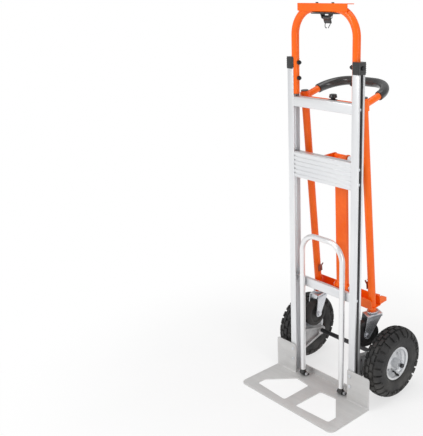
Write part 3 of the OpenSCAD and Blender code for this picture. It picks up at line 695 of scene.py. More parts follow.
def dust_effect() -> bpy.types.NodeTree:
    """Lay pale dust over a colour, thicker near the ground.

    Returns:
        The node group, which also gives how thick the dust is.
    """
    inputs = {
        "Colour": ("Color", (0.5, 0.5, 0.5, 1.0)),
        "Dust": ("Color", (0.55, 0.52, 0.47, 1.0)),
        "Reach": ("Float", 0.3),
        "Amount": ("Float", 0.2),
    }
    wiring, given, end = effect("settled dust", inputs, {"Colour": "Color", "Thickness": "Float"})
    place = wiring.add("TexCoord").outputs["Object"]
    up = wiring.add("SeparateXYZ", {0: place}).outputs[2]
    low = wiring.ramp(wiring.maths("DIVIDE", up, given["Reach"]), 0.0, 1.0, 1.0, 0.12)
    patch = wiring.ramp(wiring.noise(place, 22.0, 5.0), 0.3, 0.75, 0.1, 1.0)
    thickness = wiring.maths("MULTIPLY", wiring.maths("MULTIPLY", low, patch), given["Amount"])
    colour = wiring.blend(thickness, given["Colour"], given["Dust"])
    return close_effect(wiring, end, {"Colour": colour, "Thickness": thickness})


EFFECTS = {
    "grain": grain_effect(),
    "cells": cell_effect(),
    "shading": shading_effect(),
    "scuffs": scuff_effect(),
    "dust": dust_effect(),
}


@dataclass(frozen=True)
class Finish:
    """The look of one material.

    Relief is the depth of its grain in metres, and marks and dust are shares from 0 to 1.
    """

    slot: str
    colour: Colour
    shade: Colour
    pattern: Pattern
    metallic: float
    roughness: Pair
    relief: float
    mark: Colour = (0.7, 0.7, 0.7)
    marks: float = 0.0
    dust: float = 0.0
    coat: float = 0.0
    coat_roughness: float = 0.1
    specular: float = 0.5
    patch: float = 6.0

    def material(self) -> bpy.types.Material:
        """Make the material, or give it again if it was made before.

        Its colour goes through uneven shades, scuffs and dust. Its roughness rises with the
        shades and with the dust, and its grain is a bump.

        Returns:
            The material.
        """
        name = f"{self.slot}_{self.pattern.name.lower()}"
        if name in bpy.data.materials:
            return bpy.data.materials[name]
        made = bpy.data.materials.new(name)
        made.use_nodes = True
        made.diffuse_color = (*self.colour, 1.0)
        wiring = Wiring(made.node_tree)
        shader = made.node_tree.nodes["Principled BSDF"]
        size, stretch = self.pattern.value
        slow = tuple(max(part, 0.15) for part in stretch)
        first, second, mark = ((*colour, 1.0) for colour in (self.colour, self.shade, self.mark))
        shades = {"Colour": first, "Shade": second, "Size": self.patch, "Stretch": slow}
        shading = wiring.use("shading", shades)
        scuffed = {"Colour": shading.outputs["Colour"], "Mark": mark, "Amount": self.marks}
        scuffs = wiring.use("scuffs", scuffed)
        dust = wiring.use("dust", {"Colour": scuffs.outputs["Colour"], "Amount": self.dust})
        if self.pattern in (Pattern.FOAM, Pattern.RUBBER, Pattern.POWDER):
            grain = wiring.use("cells", {"Size": size})
        else:
            grain = wiring.use("grain", {"Size": size, "Stretch": stretch})
        low, high = self.roughness
        rough = wiring.ramp(shading.outputs["Share"], 0.0, 1.0, low, high)
        rough = wiring.maths("MULTIPLY_ADD", dust.outputs["Thickness"], 0.4, rough)
        lines = wiring.maths("MULTIPLY", wiring.maths("SUBTRACT", grain.outputs["Height"], 0.6), 0.12)
        wiring.tree.links.new(dust.outputs["Colour"], shader.inputs["Base Color"])
        wiring.tree.links.new(wiring.maths("ADD", rough, lines), shader.inputs["Roughness"])
        relief = {"Height": grain.outputs["Height"], "Distance": self.relief, "Strength": 1.0}
        wiring.tree.links.new(wiring.add("Bump", relief).outputs[0], shader.inputs["Normal"])
        shader.inputs["Metallic"].default_value = self.metallic
        shader.inputs["Coat Weight"].default_value = self.coat
        shader.inputs["Coat Roughness"].default_value = self.coat_roughness
        shader.inputs["Specular IOR Level"].default_value = self.specular
        return made


ALUMINIUM = Finish(
    "rail_aluminium", (0.86, 0.87, 0.88), (0.78, 0.79, 0.81), Pattern.DRAWN_UP, metallic=0.85,
    roughness=(0.34, 0.44), relief=0.00002, mark=(0.95, 0.95, 0.95), marks=0.25, dust=0.05,
)
ALUMINIUM_ACROSS = replace(ALUMINIUM, pattern=Pattern.DRAWN_ACROSS)
TOE_GREY = Finish(
    "toe_plate_grey", (0.68, 0.675, 0.67), (0.6, 0.597, 0.594), Pattern.SHEET, metallic=0.35,
    roughness=(0.5, 0.62), relief=0.00004, mark=(0.82, 0.82, 0.82), marks=0.5, dust=0.12,
)
CAST = Finish(
    "cast_bracket", (0.6, 0.6, 0.6), (0.46, 0.46, 0.47), Pattern.CAST, metallic=0.6,
    roughness=(0.42, 0.6), relief=0.0002, mark=(0.8, 0.8, 0.8), marks=0.2, dust=0.1, patch=30.0,
)
ORANGE = Finish(
    "orange_powder_coat", (1.0, 0.155, 0.002), (0.95, 0.125, 0.002), Pattern.POWDER, metallic=0.0,
    roughness=(0.34, 0.42), relief=0.00003, mark=(1.0, 0.4, 0.15), marks=0.12, dust=0.02,
    coat=0.3, coat_roughness=0.1, specular=0.2,
)
BLACK_PLASTIC = Finish(
    "black_plastic", (0.008, 0.008, 0.009), (0.013, 0.013, 0.014), Pattern.MOULDED, metallic=0.0,
    roughness=(0.26, 0.36), relief=0.00006, mark=(0.12, 0.12, 0.12), marks=0.3, dust=0.03,
    coat=0.5, coat_roughness=0.06,
)
BLACK_STEEL = Finish(
    "black_steel", (0.02, 0.021, 0.024), (0.035, 0.036, 0.04), Pattern.PLATED, metallic=0.4,
    roughness=(0.3, 0.42), relief=0.00003, mark=(0.3, 0.3, 0.3), marks=0.25, dust=0.06,
)
ZINC = Finish(
    "zinc_steel", (0.74, 0.76, 0.79), (0.68, 0.7, 0.735), Pattern.PLATED, metallic=0.9,
    roughness=(0.24, 0.38), relief=0.00003, mark=(0.9, 0.9, 0.9), marks=0.2, dust=0.05, patch=40.0,
)
POLISHED = Finish(
    "polished_tube", (0.9, 0.905, 0.91), (0.86, 0.865, 0.875), Pattern.DRAWN_UP, metallic=0.7,
    roughness=(0.3, 0.36), relief=0.00001, mark=(0.98, 0.98, 0.98), marks=0.1, dust=0.03,
)
NYLON = Finish(
    "nylon", (0.8, 0.77, 0.68), (0.72, 0.69, 0.6), Pattern.MOULDED, metallic=0.0,
    roughness=(0.4, 0.5), relief=0.00005,
)
DARK_CLIP = Finish(
    "dark_clip", (0.3, 0.045, 0.015), (0.2, 0.035, 0.012), Pattern.PLATED, metallic=0.1,
    roughness=(0.4, 0.5), relief=0.00004,
)
FOAM = Finish(
    "foam_grip", (0.006, 0.006, 0.0065), (0.011, 0.011, 0.012), Pattern.FOAM, metallic=0.0,
    roughness=(0.34, 0.44), relief=0.00012, mark=(0.06, 0.06, 0.06), marks=0.15, dust=0.01,
    coat=0.8, coat_roughness=0.12,
)
CASTER_RUBBER = Finish(
    "caster_rubber", (0.01, 0.01, 0.011), (0.018, 0.018, 0.019), Pattern.RUBBER, metallic=0.0,
    roughness=(0.45, 0.6), relief=0.00008, mark=(0.12, 0.12, 0.12), marks=0.2, dust=0.15,
)
TYRE_RUBBER = Finish(
    "tyre_rubber", (0.008, 0.008, 0.009), (0.016, 0.016, 0.017), Pattern.RUBBER, metallic=0.0,
    roughness=(0.5, 0.66), relief=0.00012, mark=(0.1, 0.1, 0.1), marks=0.2, dust=0.12,
)
RIM_SILVER = Finish(
    "rim_silver", (0.8, 0.81, 0.82), (0.7, 0.71, 0.73), Pattern.PLATED, metallic=0.7,
    roughness=(0.26, 0.38), relief=0.00003, mark=(0.95, 0.95, 0.95), marks=0.2, dust=0.06, patch=16.0,
)


# ---------------------------------------------------------------- finishing a piece


def meshed(name: str, surface: Surface) -> bpy.types.Object:
    """Turn a surface into an object with its doubles merged and its faces turned outwards.

    Args:
        name: The object's name.
        surface: Its points and faces.

    Returns:
        The object.
    """
    mesh = bpy.data.meshes.new(name)
    mesh.from_pydata(surface.points, [], surface.faces)
    work = bmesh.new()
    work.from_mesh(mesh)
    bmesh.ops.remove_doubles(work, verts=work.verts, dist=2e-6)
    bmesh.ops.dissolve_degenerate(work, edges=work.edges, dist=1e-6)
    bmesh.ops.recalc_face_normals(work, faces=work.faces)
    work.to_mesh(mesh)
    work.free()
    piece = bpy.data.objects.new(name, mesh)
    bpy.context.scene.collection.objects.link(piece)
    return piece


def finish_piece(
    name: str, surface: Surface, finish: Finish, body: str, stands_for: tuple = (), edge: float = 0.0,
    sharp: float = 32.0,
) -> bpy.types.Object:
    """Make a piece, dress it and hang it on its body.

    Args:
        name: The piece's name.
        surface: Its surface in the truck's frame.
        finish: Its finish.
        body: The body that carries it.
        stands_for: The frame nodes that it stands for.
        edge: How wide its edges are eased, if they are.
        sharp: The angle in degrees past which an edge is drawn sharp.

    Returns:
        The piece.
    """
    piece = meshed(name, surface)
    piece.data.materials.append(finish.material())
    piece.data.shade_smooth()
    piece.data.set_sharp_from_angle(angle=math.radians(sharp))
    if edge > 0:
        bevel = piece.modifiers.new("eased edges", "BEVEL")
        bevel.width = edge
        bevel.segments = 2
        bevel.limit_method = "ANGLE"
        bevel.angle_limit = math.radians(sharp)
        bevel.harden_normals = True
    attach(piece, body)
    if stands_for:
        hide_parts(*stands_for)
    LOG.info("%s: %d faces in %s on %s", name, len(piece.data.polygons), finish.slot, body)
    return piece


def stand_in(
    node: str, surface: Surface, finish: Finish, edge: float = 0.0, sharp: float = 32.0,
) -> bpy.types.Object:
    """Finish a piece that stands for a frame node and rides on the node's body."""
    body = frame["nodes"][node]["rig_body"]
    return finish_piece(f"finished_{node}", surface, finish, body, (node,), edge, sharp)


def eased(node: str, finish: Finish, edge: float) -> bpy.types.Object:
    """Stand a clean copy of a frame node in its place, with edges eased by so many millimetres."""
    return stand_in(node, cad_surface(node), finish, edge * MM, 34.0)


def dressed(node: str, finish: Finish) -> bpy.types.Object:
    """Keep a frame node as it is and give it a finish.

    Args:
        node: The node's name.
        finish: Its finish.

    Returns:
        The node's object.
    """
    kept = frame["nodes"][node]
    kept.data.materials.clear()
    kept.data.materials.append(finish.material())
    LOG.info("%s: kept in %s", node, finish.slot)
    return kept


def cut(surface: Surface, cutter: Surface) -> Surface:
    """Take one solid away from another.

    Args:
        surface: The solid that stays.
        cutter: The solid that is taken away.

    Returns:
        What is left.
    """
    whole, tool = meshed("whole", surface), meshed("tool", cutter)
    boolean = whole.modifiers.new("cut", "BOOLEAN")
    boolean.operation = "DIFFERENCE"
    boolean.solver = "EXACT"
    boolean.object = tool
    mesh = bpy.data.meshes.new_from_object(whole.evaluated_get(bpy.context.evaluated_depsgraph_get()))
    points = np.empty(len(mesh.vertices) * 3)
    mesh.vertices.foreach_get("co", points)
    faces = [list(face.vertices) for face in mesh.polygons]
    for used in (whole, tool):
        bpy.data.objects.remove(used)
    bpy.data.meshes.remove(mesh)
    return Surface(points.reshape(-1, 3), faces)


# ---------------------------------------------------------------- main frame


@dataclass
class RailFrame:
    """The two rails, their caps, the two crossbars and the ribbed panel. Sizes in millimetres."""

    inner: float = 129.4
    outer: float = 157.0
    depth: float = 29.5
    wall: float = 1.9
    channel: float = 17.8
    slot: float = 7.8
    lips: float = 3.0
    mouth: float = 13.0
    # half-width of the black strip in the T-slot, which is painted shade for the deep groove
    strip: float = 8.15
    foot: float = 5.15
    head: float = 1126.0
    bar_back: float = 27.1
    bar_gap: float = 0.15
    tip_gap: float = 0.6
    bar_height: float = 33.0
    panel_low: float = 759.0
    panel_height: float = 89.0
    ribs: int = 6

    def rail(self) -> Surface:
        """Carry the rail's section up its length.

        The section is a channel open towards the middle, with a T-slot in its outer face.

        Returns:
            The closed right rail.
        """
        deep, mouth = self.outer - self.slot, self.outer - self.lips
        front, back = (self.depth - self.mouth) / 2, (self.depth + self.mouth) / 2
        web = self.inner + self.channel
        corners = [
            (self.inner, 0), (self.outer, 0), (self.outer, front), (mouth, front), (mouth, front - 2),
            (deep, front - 2), (deep, back + 2), (mouth, back + 2), (mouth, back), (self.outer, back),
            (self.outer, self.depth), (self.inner, self.depth), (self.inner, self.depth - self.wall),
            (web, self.depth - self.wall), (web, self.wall), (self.inner, self.wall),
        ]
        radii = [0.8, 1.6, 0.9, 0.9, 0.3, 0.3, 0.3, 0.3, 0.9, 0.9, 1.6, 0.8, 0.8, 0.8, 0.8, 0.8]
        outline = rounded(corners, radii) * MM
        return plate(outline, self.foot * MM, self.head * MM, 0.15 * MM)

    def slot_shade_strip(self) -> Surface:
        """Lay a thin black strip along the floor of the T-slot, as painted shade that makes the groove darker
        than its own shadow.

        Returns:
            The closed right strip.
        """
        deep, middle = self.outer - self.slot, self.depth / 2
        low, high = (deep, middle - self.strip), (deep + 0.9, middle + self.strip)
        outline = rounded_box(low, high, 0.3) * MM
        return plate(outline, (self.foot + 2) * MM, (self.head - 6) * MM, 0.1 * MM)

    def crossbar(self, low: float, front: float) -> Surface:
        """Make a hollow bar between the rails, with a tenon into each channel.

        Args:
            low: The height of its lower face.
            front: The place of its front face, along Y.

        Returns:
            The bar and its tenons.
        """
        outer = rounded_box((front, low), (self.bar_back, low + self.bar_height), 3)
        inner = rounded_box((front + 4, low + 6), (self.bar_back - 4, low + self.bar_height - 6), 2)
        tenon = rounded_box((front + 3, low + 4), (self.bar_back, low + self.bar_height - 4), 1)
        reach, tip = (self.inner - self.bar_gap) * MM, (self.inner + self.channel - self.tip_gap) * MM
        bar = plate(outer * MM, -reach, reach, 0.3 * MM, (inner * MM,))
        end = plate(tenon * MM, reach - MM, tip, 0.3 * MM)
        return joined(bar.placed(SECTION_ALONG_X), end.placed(SECTION_ALONG_X).with_mirror())

    def panel(self) -> Surface:
        """Make the panel between the rails, with raised ribs in front and two flanges behind.

        Each rib rises 1.5 from the web over 0.64 of its share of the height.

        Returns:
            The panel and the lugs that hold it in the rails' channels.
        """
        web, crest, height, pitch = 2.3, 0.8, self.panel_height, self.panel_height / self.ribs
        rib = np.arange(self.ribs)[::-1]
        tops, feet = (rib + 0.82) * pitch, (rib + 0.18) * pitch
        steps = [(web, tops + 0.7), (crest, tops - 0.5), (crest, feet + 0.5), (web, feet - 0.7)]
        front = np.stack([np.stack([np.full(self.ribs, y), z], axis=1) for y, z in steps], axis=1)
        back = [
            (web, 0), (self.bar_back, 0), (self.bar_back, 3), (5.3, 3), (5.3, height - 3),
            (self.bar_back, height - 3), (self.bar_back, height), (web, height),
        ]
        outline = rounded(back + front.reshape(-1, 2).tolist(), 0.7, 3) + (0, self.panel_low)
        reach, tip = (self.inner - self.bar_gap) * MM, (self.inner + self.channel - self.tip_gap) * MM
        sheet = plate(outline * MM, -reach, reach, 0.1 * MM)
        end = rounded_box((web, self.panel_low), (self.bar_back, self.panel_low + height), 1)
        lug = rounded_box((8.1, self.panel_low + 7), (22.1, self.panel_low + height - 7), 1.5)
        ends = joined(
            plate(end * MM, reach - 3 * MM, reach, 0.3 * MM),
            plate(lug * MM, reach - 2 * MM, tip, 0.3 * MM),
        ).placed(SECTION_ALONG_X)
        return joined(sheet.placed(SECTION_ALONG_X), ends.with_mirror())

    def build(self) -> None:
        """Build the frame's pieces."""
        rail = self.rail()
        stand_in("right_rail", rail, ALUMINIUM)
        stand_in("left_rail", rail.mirrored(), ALUMINIUM)
        # the black strips in the T-slots are painted shade: a dark sheet where the grooves only have shadow
        finish_piece("slot_strips", self.slot_shade_strip().with_mirror(), BLACK_PLASTIC, "truck")
        for node, low, front in (("top_crossbar", 1000.0, 0.8), ("lower_crossbar", 362.0, 13.0)):
            stand_in(node, self.crossbar(low, front), ALUMINIUM_ACROSS)
        stand_in("middle_panel", self.panel(), ALUMINIUM_ACROSS)
        eased("rail_caps", BLACK_PLASTIC, 0.8)
        eased("crossbar_screws", ZINC, 0.5)


@dataclass
class ToePlate:
    """The toe plate with its cut-outs and wings. Sizes in millimetres."""

    half: float = 227.5
    reach: float = 188.0
    thick: float = 5.0
    corner: float = 22.0
    rail: float = 157.0
    inner: float = 129.4
    back: float = 42.0
    wing: float = 119.0
    weld: float = 4.0

    def floor(self) -> Surface:
        """Make the flat plate with its two cut-outs.

        Returns:
            The closed plate.
        """
        corners = [
            (-self.half, -self.reach), (self.half, -self.reach), (self.half, 0), (self.rail, 0),
            (self.rail, self.back), (-self.rail, self.back), (-self.rail, 0), (-self.half, 0),
        ]
        radii = [self.corner, self.corner, 1, 1, 3, 3, 1, 1]
        middle = np.array([(38, -43), (36, -148), (169, -141), (169, -117), (95, -38)], float)
        hole = rounded(inset(middle, np.array([-9.0]))[0].tolist(), 9, 10)
        holes = (hole * MM, hole[::-1] * (-MM, MM))
        return plate(rounded(corners, radii, 12) * MM, 0, self.thick * MM, 0.9 * MM, holes)

    def wings(self) -> Surface:
        """Make the upright wings and the weld along each wing's foot.

        The weld fills the corner with a concave quarter circle.

        Returns:
            Both wings and both welds.
        """
        low, left = self.thick - 1, self.inner - 1
        corners = [(left, low), (self.half, low), (self.half, self.wing), (left, self.wing)]
        sheet = plate(rounded(corners, [0.8, 0.8, 8, 1.5], 8) * MM, 0.15 * MM, self.thick * MM, 0.9 * MM)
        face, top, throat, sunk = -self.thick, self.thick, self.weld, 0.5
        bow = arc((face - throat, top + throat), throat, -90, 0, 8)
        corner = [(face + sunk, top + throat), (face + sunk, top - sunk), (face - throat, top - sunk)]
        fillet = np.concatenate([bow, corner])
        weld = plate(fillet * MM, (left + 1) * MM, (self.half - 1) * MM, 0.05 * MM)
        return joined(sheet.placed(SECTION_ALONG_Y), weld.placed(SECTION_ALONG_X)).with_mirror()

    def upstand(self) -> Surface:
        """Make the low wall behind the rails.

        Returns:
            The closed wall.
        """
        reach = self.inner - 2
        outline = rounded_box((-reach, self.thick - 1), (reach, 24), 3) * MM
        return plate(outline, -self.back * MM, (5 - self.back) * MM, 0.9 * MM).placed(SECTION_ALONG_Y)

    def build(self) -> None:
        """Build the toe plate's pieces."""
        stand_in("toe_plate", joined(self.floor(), self.wings(), self.upstand()), TOE_GREY)
        eased("toe_plate_bolts", ZINC, 1.4)


# ---------------------------------------------------------------- axle and main wheels


@dataclass
class Undercarriage:
    """The cast brackets, the axle and what sits on it. Sizes in millimetres."""

    edge: float = 1.6

    def build(self) -> None:
        """Build the pieces between the rails and the wheels."""
        eased("left_axle_bracket", CAST, self.edge)
        eased("right_axle_bracket", CAST, self.edge)
        eased("bracket_bolts", BLACK_STEEL, 1.0)
        eased("axle", BLACK_STEEL, 0.8)
        eased("axle_spacers", ZINC, 0.5)
        eased("cotter_pins", ZINC, 0.4)


@dataclass
class MainWheel:
    """One pneumatic wheel. Sizes in millimetres, angles in degrees.

    A groove's width is a share of the lugs' pitch. The rows of lugs are measured across the
    tread from its middle, and each ring on the side has a height, a radius and a width.
    """

    side: Side
    centre_x: float = 210.0
    axle_y: float = 138.5
    radius: float = 127.0
    half: float = 38.0
    lug: float = 6.0
    lugs: int = 26
    groove: Pair = (0.105, 0.145)
    inner_row: Pair = (0.8, 14.0)
    outer_row: float = 17.2
    lug_ramp: float = 1.6
    shoulder: float = 41.0
    longer: float = 6.5
    rings: tuple = ((0.8, 72.0, 1.6), (0.7, 84.0, 1.2))
    unseen: float = 999.0
    flange: float = 61.0
    lip: float = 23.0
    hub: float = 17.0
    holes: int = 4
    hole_circle: float = 32.5
    hole_radius: float = 4.5
    valve_circle: float = 45.5
    valve_radius: float = 4.6
    valve_turn: float = 10.0
    valve_lean: float = 12.0
    bearing_place: float = 34.7

    def axes(self) -> Axes:
        """Give the wheel's axes.

        Returns:
            The axes, whose w points out of the truck.
        """
        way = self.side.value
        origin = (way * self.centre_x * MM, self.axle_y * MM, self.radius * MM)
        return Axes(origin, (0, 0, -way), (0, 1, 0), (way, 0, 0))

    def carcass(self) -> tuple[Array, Array, Array]:
        """Draw the tyre's section without its lugs.

        Returns:
            The section's points from bead to bead and back inside, its outward normals, and the
            distance of each point from the tread's middle, which is large inside.
        """
        half = np.array([
            (61.4, 25.4), (61.6, 27.4), (64.0, 30.6), (69.0, 33.4), (78.0, 35.2), (88.0, 35.6), (98.0, 34.6),
            (106.0, 31.9), (112.5, 27.6), (117.0, 21.6), (119.6, 14.0), (120.7, 6.5), (121.0, 0.0),
        ])
        smooth = relaxed(resampled(np.concatenate([half, half[-2::-1] * (1, -1)]), 400), 30)
        along = lengths_along(smooth)
        across = along - along[-1] / 2
        edges = [0.8, 2, 5, 9, 12.4, 14, 17.2, 18.8, 22, 26, 30, 34, 38, 40.2, 41.8, 44, 46.7, 48.3]
        side = np.concatenate([edges, np.linspace(51, -across[0], 14)])
        wanted = np.concatenate([-side[::-1], [0], side])
        outside = interpolated(smooth, across, wanted)
        slope = np.gradient(outside, axis=0)
        normal = np.stack([-slope[:, 1], slope[:, 0]], axis=1)
        normal /= np.linalg.norm(normal, axis=1)[:, None]
        cavity = np.array([(62, -24), (75, -25), (95, -25), (108, -16), (112, 0)])
        inside = np.concatenate([cavity, cavity[-2::-1] * (1, -1)])
        section = np.concatenate([outside, inside])
        outward = np.concatenate([normal, np.zeros_like(inside)])
        return section, outward, np.concatenate([wanted, np.full(len(inside), self.unseen)])

    def lug_rise(self, turns: Array, across: Array) -> Array:
        """Work out how far the lugs stand up from the tread.

        The rise is the lug's height, times a step across the tread and a step round it. There
        are four rows, each half a pitch from its neighbours, and every other shoulder lug
        reaches further down the side.

        Args:
            turns: Places round the tyre, counted in lugs.
            across: Places across the tread, from its middle.

        Returns:
            The rise, with one row for each place round the tyre.
        """
        place, shifted = turns % 1.0, (turns + 0.5) % 1.0
        even = smooth_step(np.minimum(place, 1 - place), *self.groove)[:, None]
        odd = smooth_step(np.minimum(shifted, 1 - shifted), *self.groove)[:, None]
        away, left = np.abs(across)[None], (across < 0)[None]
        first, last = self.inner_row
        ramp = self.lug_ramp
        inner = smooth_step(away, first, first + 0.75 * ramp) * smooth_step(last - away, 0, ramp)
        reach = self.shoulder + (np.floor(turns) % 2)[:, None] * self.longer
        outer = smooth_step(away, self.outer_row, self.outer_row + ramp)
        outer = outer * smooth_step(reach - away, -ramp / 2, ramp / 2)
        near, far = np.where(left, even, odd), np.where(left, odd, even)
        return np.maximum(near * inner, far * outer) * self.lug

    def tyre(self) -> Surface:
        """Raise chunky lugs on the tyre, and two fine rings on each side.

        A point moves along its section's normal by the lugs' rise and by the rings' height,
        which is a bell curve in the section's radius.

        Returns:
            The closed tyre.
        """
        section, outward, across = self.carcass()
        eighths = np.arange(0, 1, 0.125)
        walls = eighths[1::2, None] + (-0.025, 0, 0.025)
        share = np.sort(np.concatenate([eighths[::2], walls.ravel()]))
        turns = (np.arange(self.lugs)[:, None] + share[None]).ravel()
        rise = self.lug_rise(turns, across)
        for height, middle, width in self.rings:
            bell = height * np.exp(-(((section[:, 0] - middle) / width) ** 2))
            rise = rise + bell * (np.abs(across) < self.unseen)
        grid = section + rise[..., None] * outward
        grid[..., 1] = np.clip(grid[..., 1], -self.half, self.half)
        angle = turns[:, None] * (2 * math.pi / self.lugs)
        radius = np.minimum(grid[..., 0], self.radius)
        points = np.stack([radius * np.cos(angle), radius * np.sin(angle), grid[..., 1]], axis=-1)
        faces = grid_faces(len(turns), len(section), True, True)
        return Surface(points.reshape(-1, 3) * MM, faces).placed(self.axes())

    def disc(self) -> Surface:
        """Turn the pressed rim, then drill its holes and the valve's hole.

        Returns:
            The drilled rim, centred on the wheel's own axes.
        """
        edge, lip, reach = self.flange, self.lip, 30
        out = [
            (edge - 4, lip + 2.6), (edge - 1.2, lip + 3), (edge, lip + 1.6), (edge - 0.6, lip),
            (edge - 5.5, lip - 0.4), (edge - 6, 15), (edge - 14, 9),
        ]
        back = [
            (edge - 8.5, lip + 0.6), (edge - 9.4, 16.5), (edge - 16, 10.2), (edge - 17.4, 6.0),
            (edge - 17, 2.2), (edge - 19, 1.6), (self.hub + 9, 7.6), (self.hub + 5, 9.6),
            (self.hub - 1, 11.5),
        ]
        ahead = np.array(out[::-1] + back)
        profile = rounded(np.concatenate([ahead, ahead[::-1] * (1, -1)]).tolist(), 0.9, 3)
        ring = lathe(profile * MM, UPRIGHT, 144)
        turns = [math.radians(45 + 360 / self.holes * number) for number in range(self.holes)]
        drills = [(self.hole_circle, turn, self.hole_radius, -reach) for turn in turns]
        drills.append((self.valve_circle, math.radians(self.valve_turn), self.valve_radius, 0))
        for away, turn, radius, low in drills:
            rod = np.array([(0, low), (radius, low), (radius, reach), (0, reach)]) * MM
            place = (away * MM * math.cos(turn), away * MM * math.sin(turn), 0)
            ring = cut(ring, lathe(rod, Axes(origin=place), 32))
        return ring

    def hub_tube(self) -> Surface:
        """Turn the hub, with a seat for a bearing in each end.

        Returns:
            The hub, centred on the wheel's own axes.
        """
        wide, seat, end = self.hub, 14.1, 39.4
        half = [
            (11, 0), (11, 29.8), (seat, 29.8), (seat, end), (wide - 0.8, end), (wide, end - 1), (wide, 20),
            (wide + 0.7, 17), (wide + 0.7, 0),
        ]
        return lathe(both_ways(half) * MM, UPRIGHT, 96)

    def bearing(self) -> Surface:
        """Turn one bearing with its sunk shield, centred on its own height."""
        half = [
            (8.1, 0), (8.1, 4.2), (8.4, 4.5), (10.4, 4.5), (10.6, 3.8), (12.0, 3.8), (12.2, 4.5), (13.7, 4.5),
            (14, 4.2), (14, 0),
        ]
        return lathe(both_ways(half) * MM, UPRIGHT, 72)

    def valve(self) -> Surface:
        """Turn the valve's stem and cap on its own leaning axis.

        Returns:
            The valve, placed on the wheel's own axes.
        """
        angle, tip = math.radians(self.valve_turn), math.radians(self.valve_lean)
        out = np.array([math.cos(angle), math.sin(angle), 0])
        along = np.array([math.sin(tip) * out[0], math.sin(tip) * out[1], math.cos(tip)])
        side = np.cross(along, (0, 0, 1))
        side /= np.linalg.norm(side)
        origin = out * self.valve_circle * MM - (0, 0, MM)
        axes = Axes(tuple(origin), tuple(side), tuple(np.cross(along, side)), tuple(along))
        height = [9, 9, 14.5, 15.2, 19, 19.4, 20, 20.4, 26.8, 28.4, 29, 29]
        radius = [0, 4.2, 4.1, 2.9, 2.9, 3.6, 3.6, 3.9, 3.9, 3.4, 2.2, 0]
        return lathe(np.stack([radius, height], axis=1) * MM, axes, 40)

    def build(self) -> None:
        """Build the wheel's pieces."""
        word, axes = self.side.word, self.axes()
        stand_in(f"{word}_tyre", self.tyre(), TYRE_RUBBER, sharp=40)
        stand_in(f"{word}_rim", joined(self.disc(), self.hub_tube()).placed(axes), RIM_SILVER)
        ends = [Axes(origin=(0, 0, way * self.bearing_place * MM)) for way in (1, -1)]
        pair = joined(*(self.bearing().placed(end) for end in ends)).placed(axes)
        stand_in(f"{word}_bearings", pair, ZINC)
        stand_in(f"{word}_valve", self.valve().placed(axes), TYRE_RUBBER)


# ---------------------------------------------------------------- handle, knob and nose loop


@dataclass
class TubeLoop:
    """An upside-down U of round tube. Sizes in millimetres."""

    leg: float
    depth: float
    foot: float
    line: float
    bend: float
    radius: float
    wall: float
    steps: int
    sides: int

    def loop(self) -> Surface:
        """Carry the tube up one leg, over the top and down the other.

        Returns:
            The closed tube.
        """
        path = (arch(self.leg, self.foot, self.line, self.bend, self.steps) + (0, self.depth, 0)) * MM
        return tube(path, (0, 1, 0), self.radius * MM, (self.radius - self.wall) * MM, self.sides)


@dataclass
class LoopHandle(TubeLoop):
    """The fixed loop with its angle plate and its latch. Sizes in millimetres."""

    leg: float = 132.8
    depth: float = 14.75
    foot: float = 1041.0
    line: float = 1312.3
    bend: float = 84.0
    radius: float = 12.7
    wall: float = 2.0
    steps: int = 36
    sides: int = 48
    hook_depth: float = 29.25
    wire: float = 1.2

    def hooks(self) -> Surface:
        """Bend two thin wire hooks that hang from the lever's tail.

        Each is a round section along a line through a few points, with its corners rounded.

        Returns:
            Both hooks.
        """
        left = [(-10, 1275.5), (-10.4, 1270), (-13.2, 1263), (-12.6, 1256), (-8.4, 1252.4), (-5.6, 1254.6)]
        right = [(10, 1275.5), (10.4, 1270), (8.4, 1263), (3.2, 1257.5), (1.6, 1253.4)]
        lines = [relaxed(resampled(np.array(points), 40), 12) for points in (left, right)]
        paths = [np.insert(line, 1, self.hook_depth, axis=1) * MM for line in lines]
        return joined(*(sweep(path, (0, 1, 0), circle(self.wire * MM, 14)) for path in paths))

    def build(self) -> None:
        """Build the handle's pieces."""
        stand_in("handle_loop", self.loop(), ORANGE)
        eased("handle_plate", ORANGE, 0.7)
        eased("handle_bolts", BLACK_STEEL, 0.8)
        eased("handle_nuts", BLACK_STEEL, 0.8)
        eased("latch_housing", BLACK_PLASTIC, 0.7)
        eased("latch_lever", BLACK_PLASTIC, 0.7)
        stand_in("latch_hook", self.hooks(), BLACK_STEEL)
        eased("latch_pin", ZINC, 0.5)


@dataclass
class StowKnob:
    """The plunger that holds the stowed caster frame. Sizes in millimetres."""

    place: Point = (0.0, 54.0)
    foot: float = 1027.5

    def plunger(self) -> Surface:
        """Turn the pin, its collar and the domed knob with its skirt.

        Returns:
            The closed plunger.
        """
        pin = [(0, 0), (3.2, 0), (4, 1), (4, 7.1)]
        collar = [(5.6, 7.1), (6, 7.5), (6, 8.3), (5.6, 8.7), (4, 8.9)]
        hollow = [(4, 17.8), (8.6, 17.8), (9, 17.4), (9, 8.6)]
        skirt = [(12.8, 8.0), (13.4, 8.6), (13.5, 10.4), (13.0, 14.0), (11.8, 16.6)]
        dome = [(12.6, 17.6), (12.4, 18.6), (10.6, 19.6), (7, 20.3), (3.5, 20.5), (0, 20.5)]
        profile = pin + collar + hollow + skirt + dome
        axes = Axes(origin=(self.place[0] * MM, self.place[1] * MM, self.foot * MM))
        return lathe(np.array(profile) * MM, axes, 72)

    def build(self) -> None:
        """Build the knob's pieces."""
        stand_in("knob_plunger", self.plunger(), BLACK_PLASTIC)
        eased("knob_bracket", BLACK_STEEL, 0.6)
        dressed("plunger_spring", ZINC)


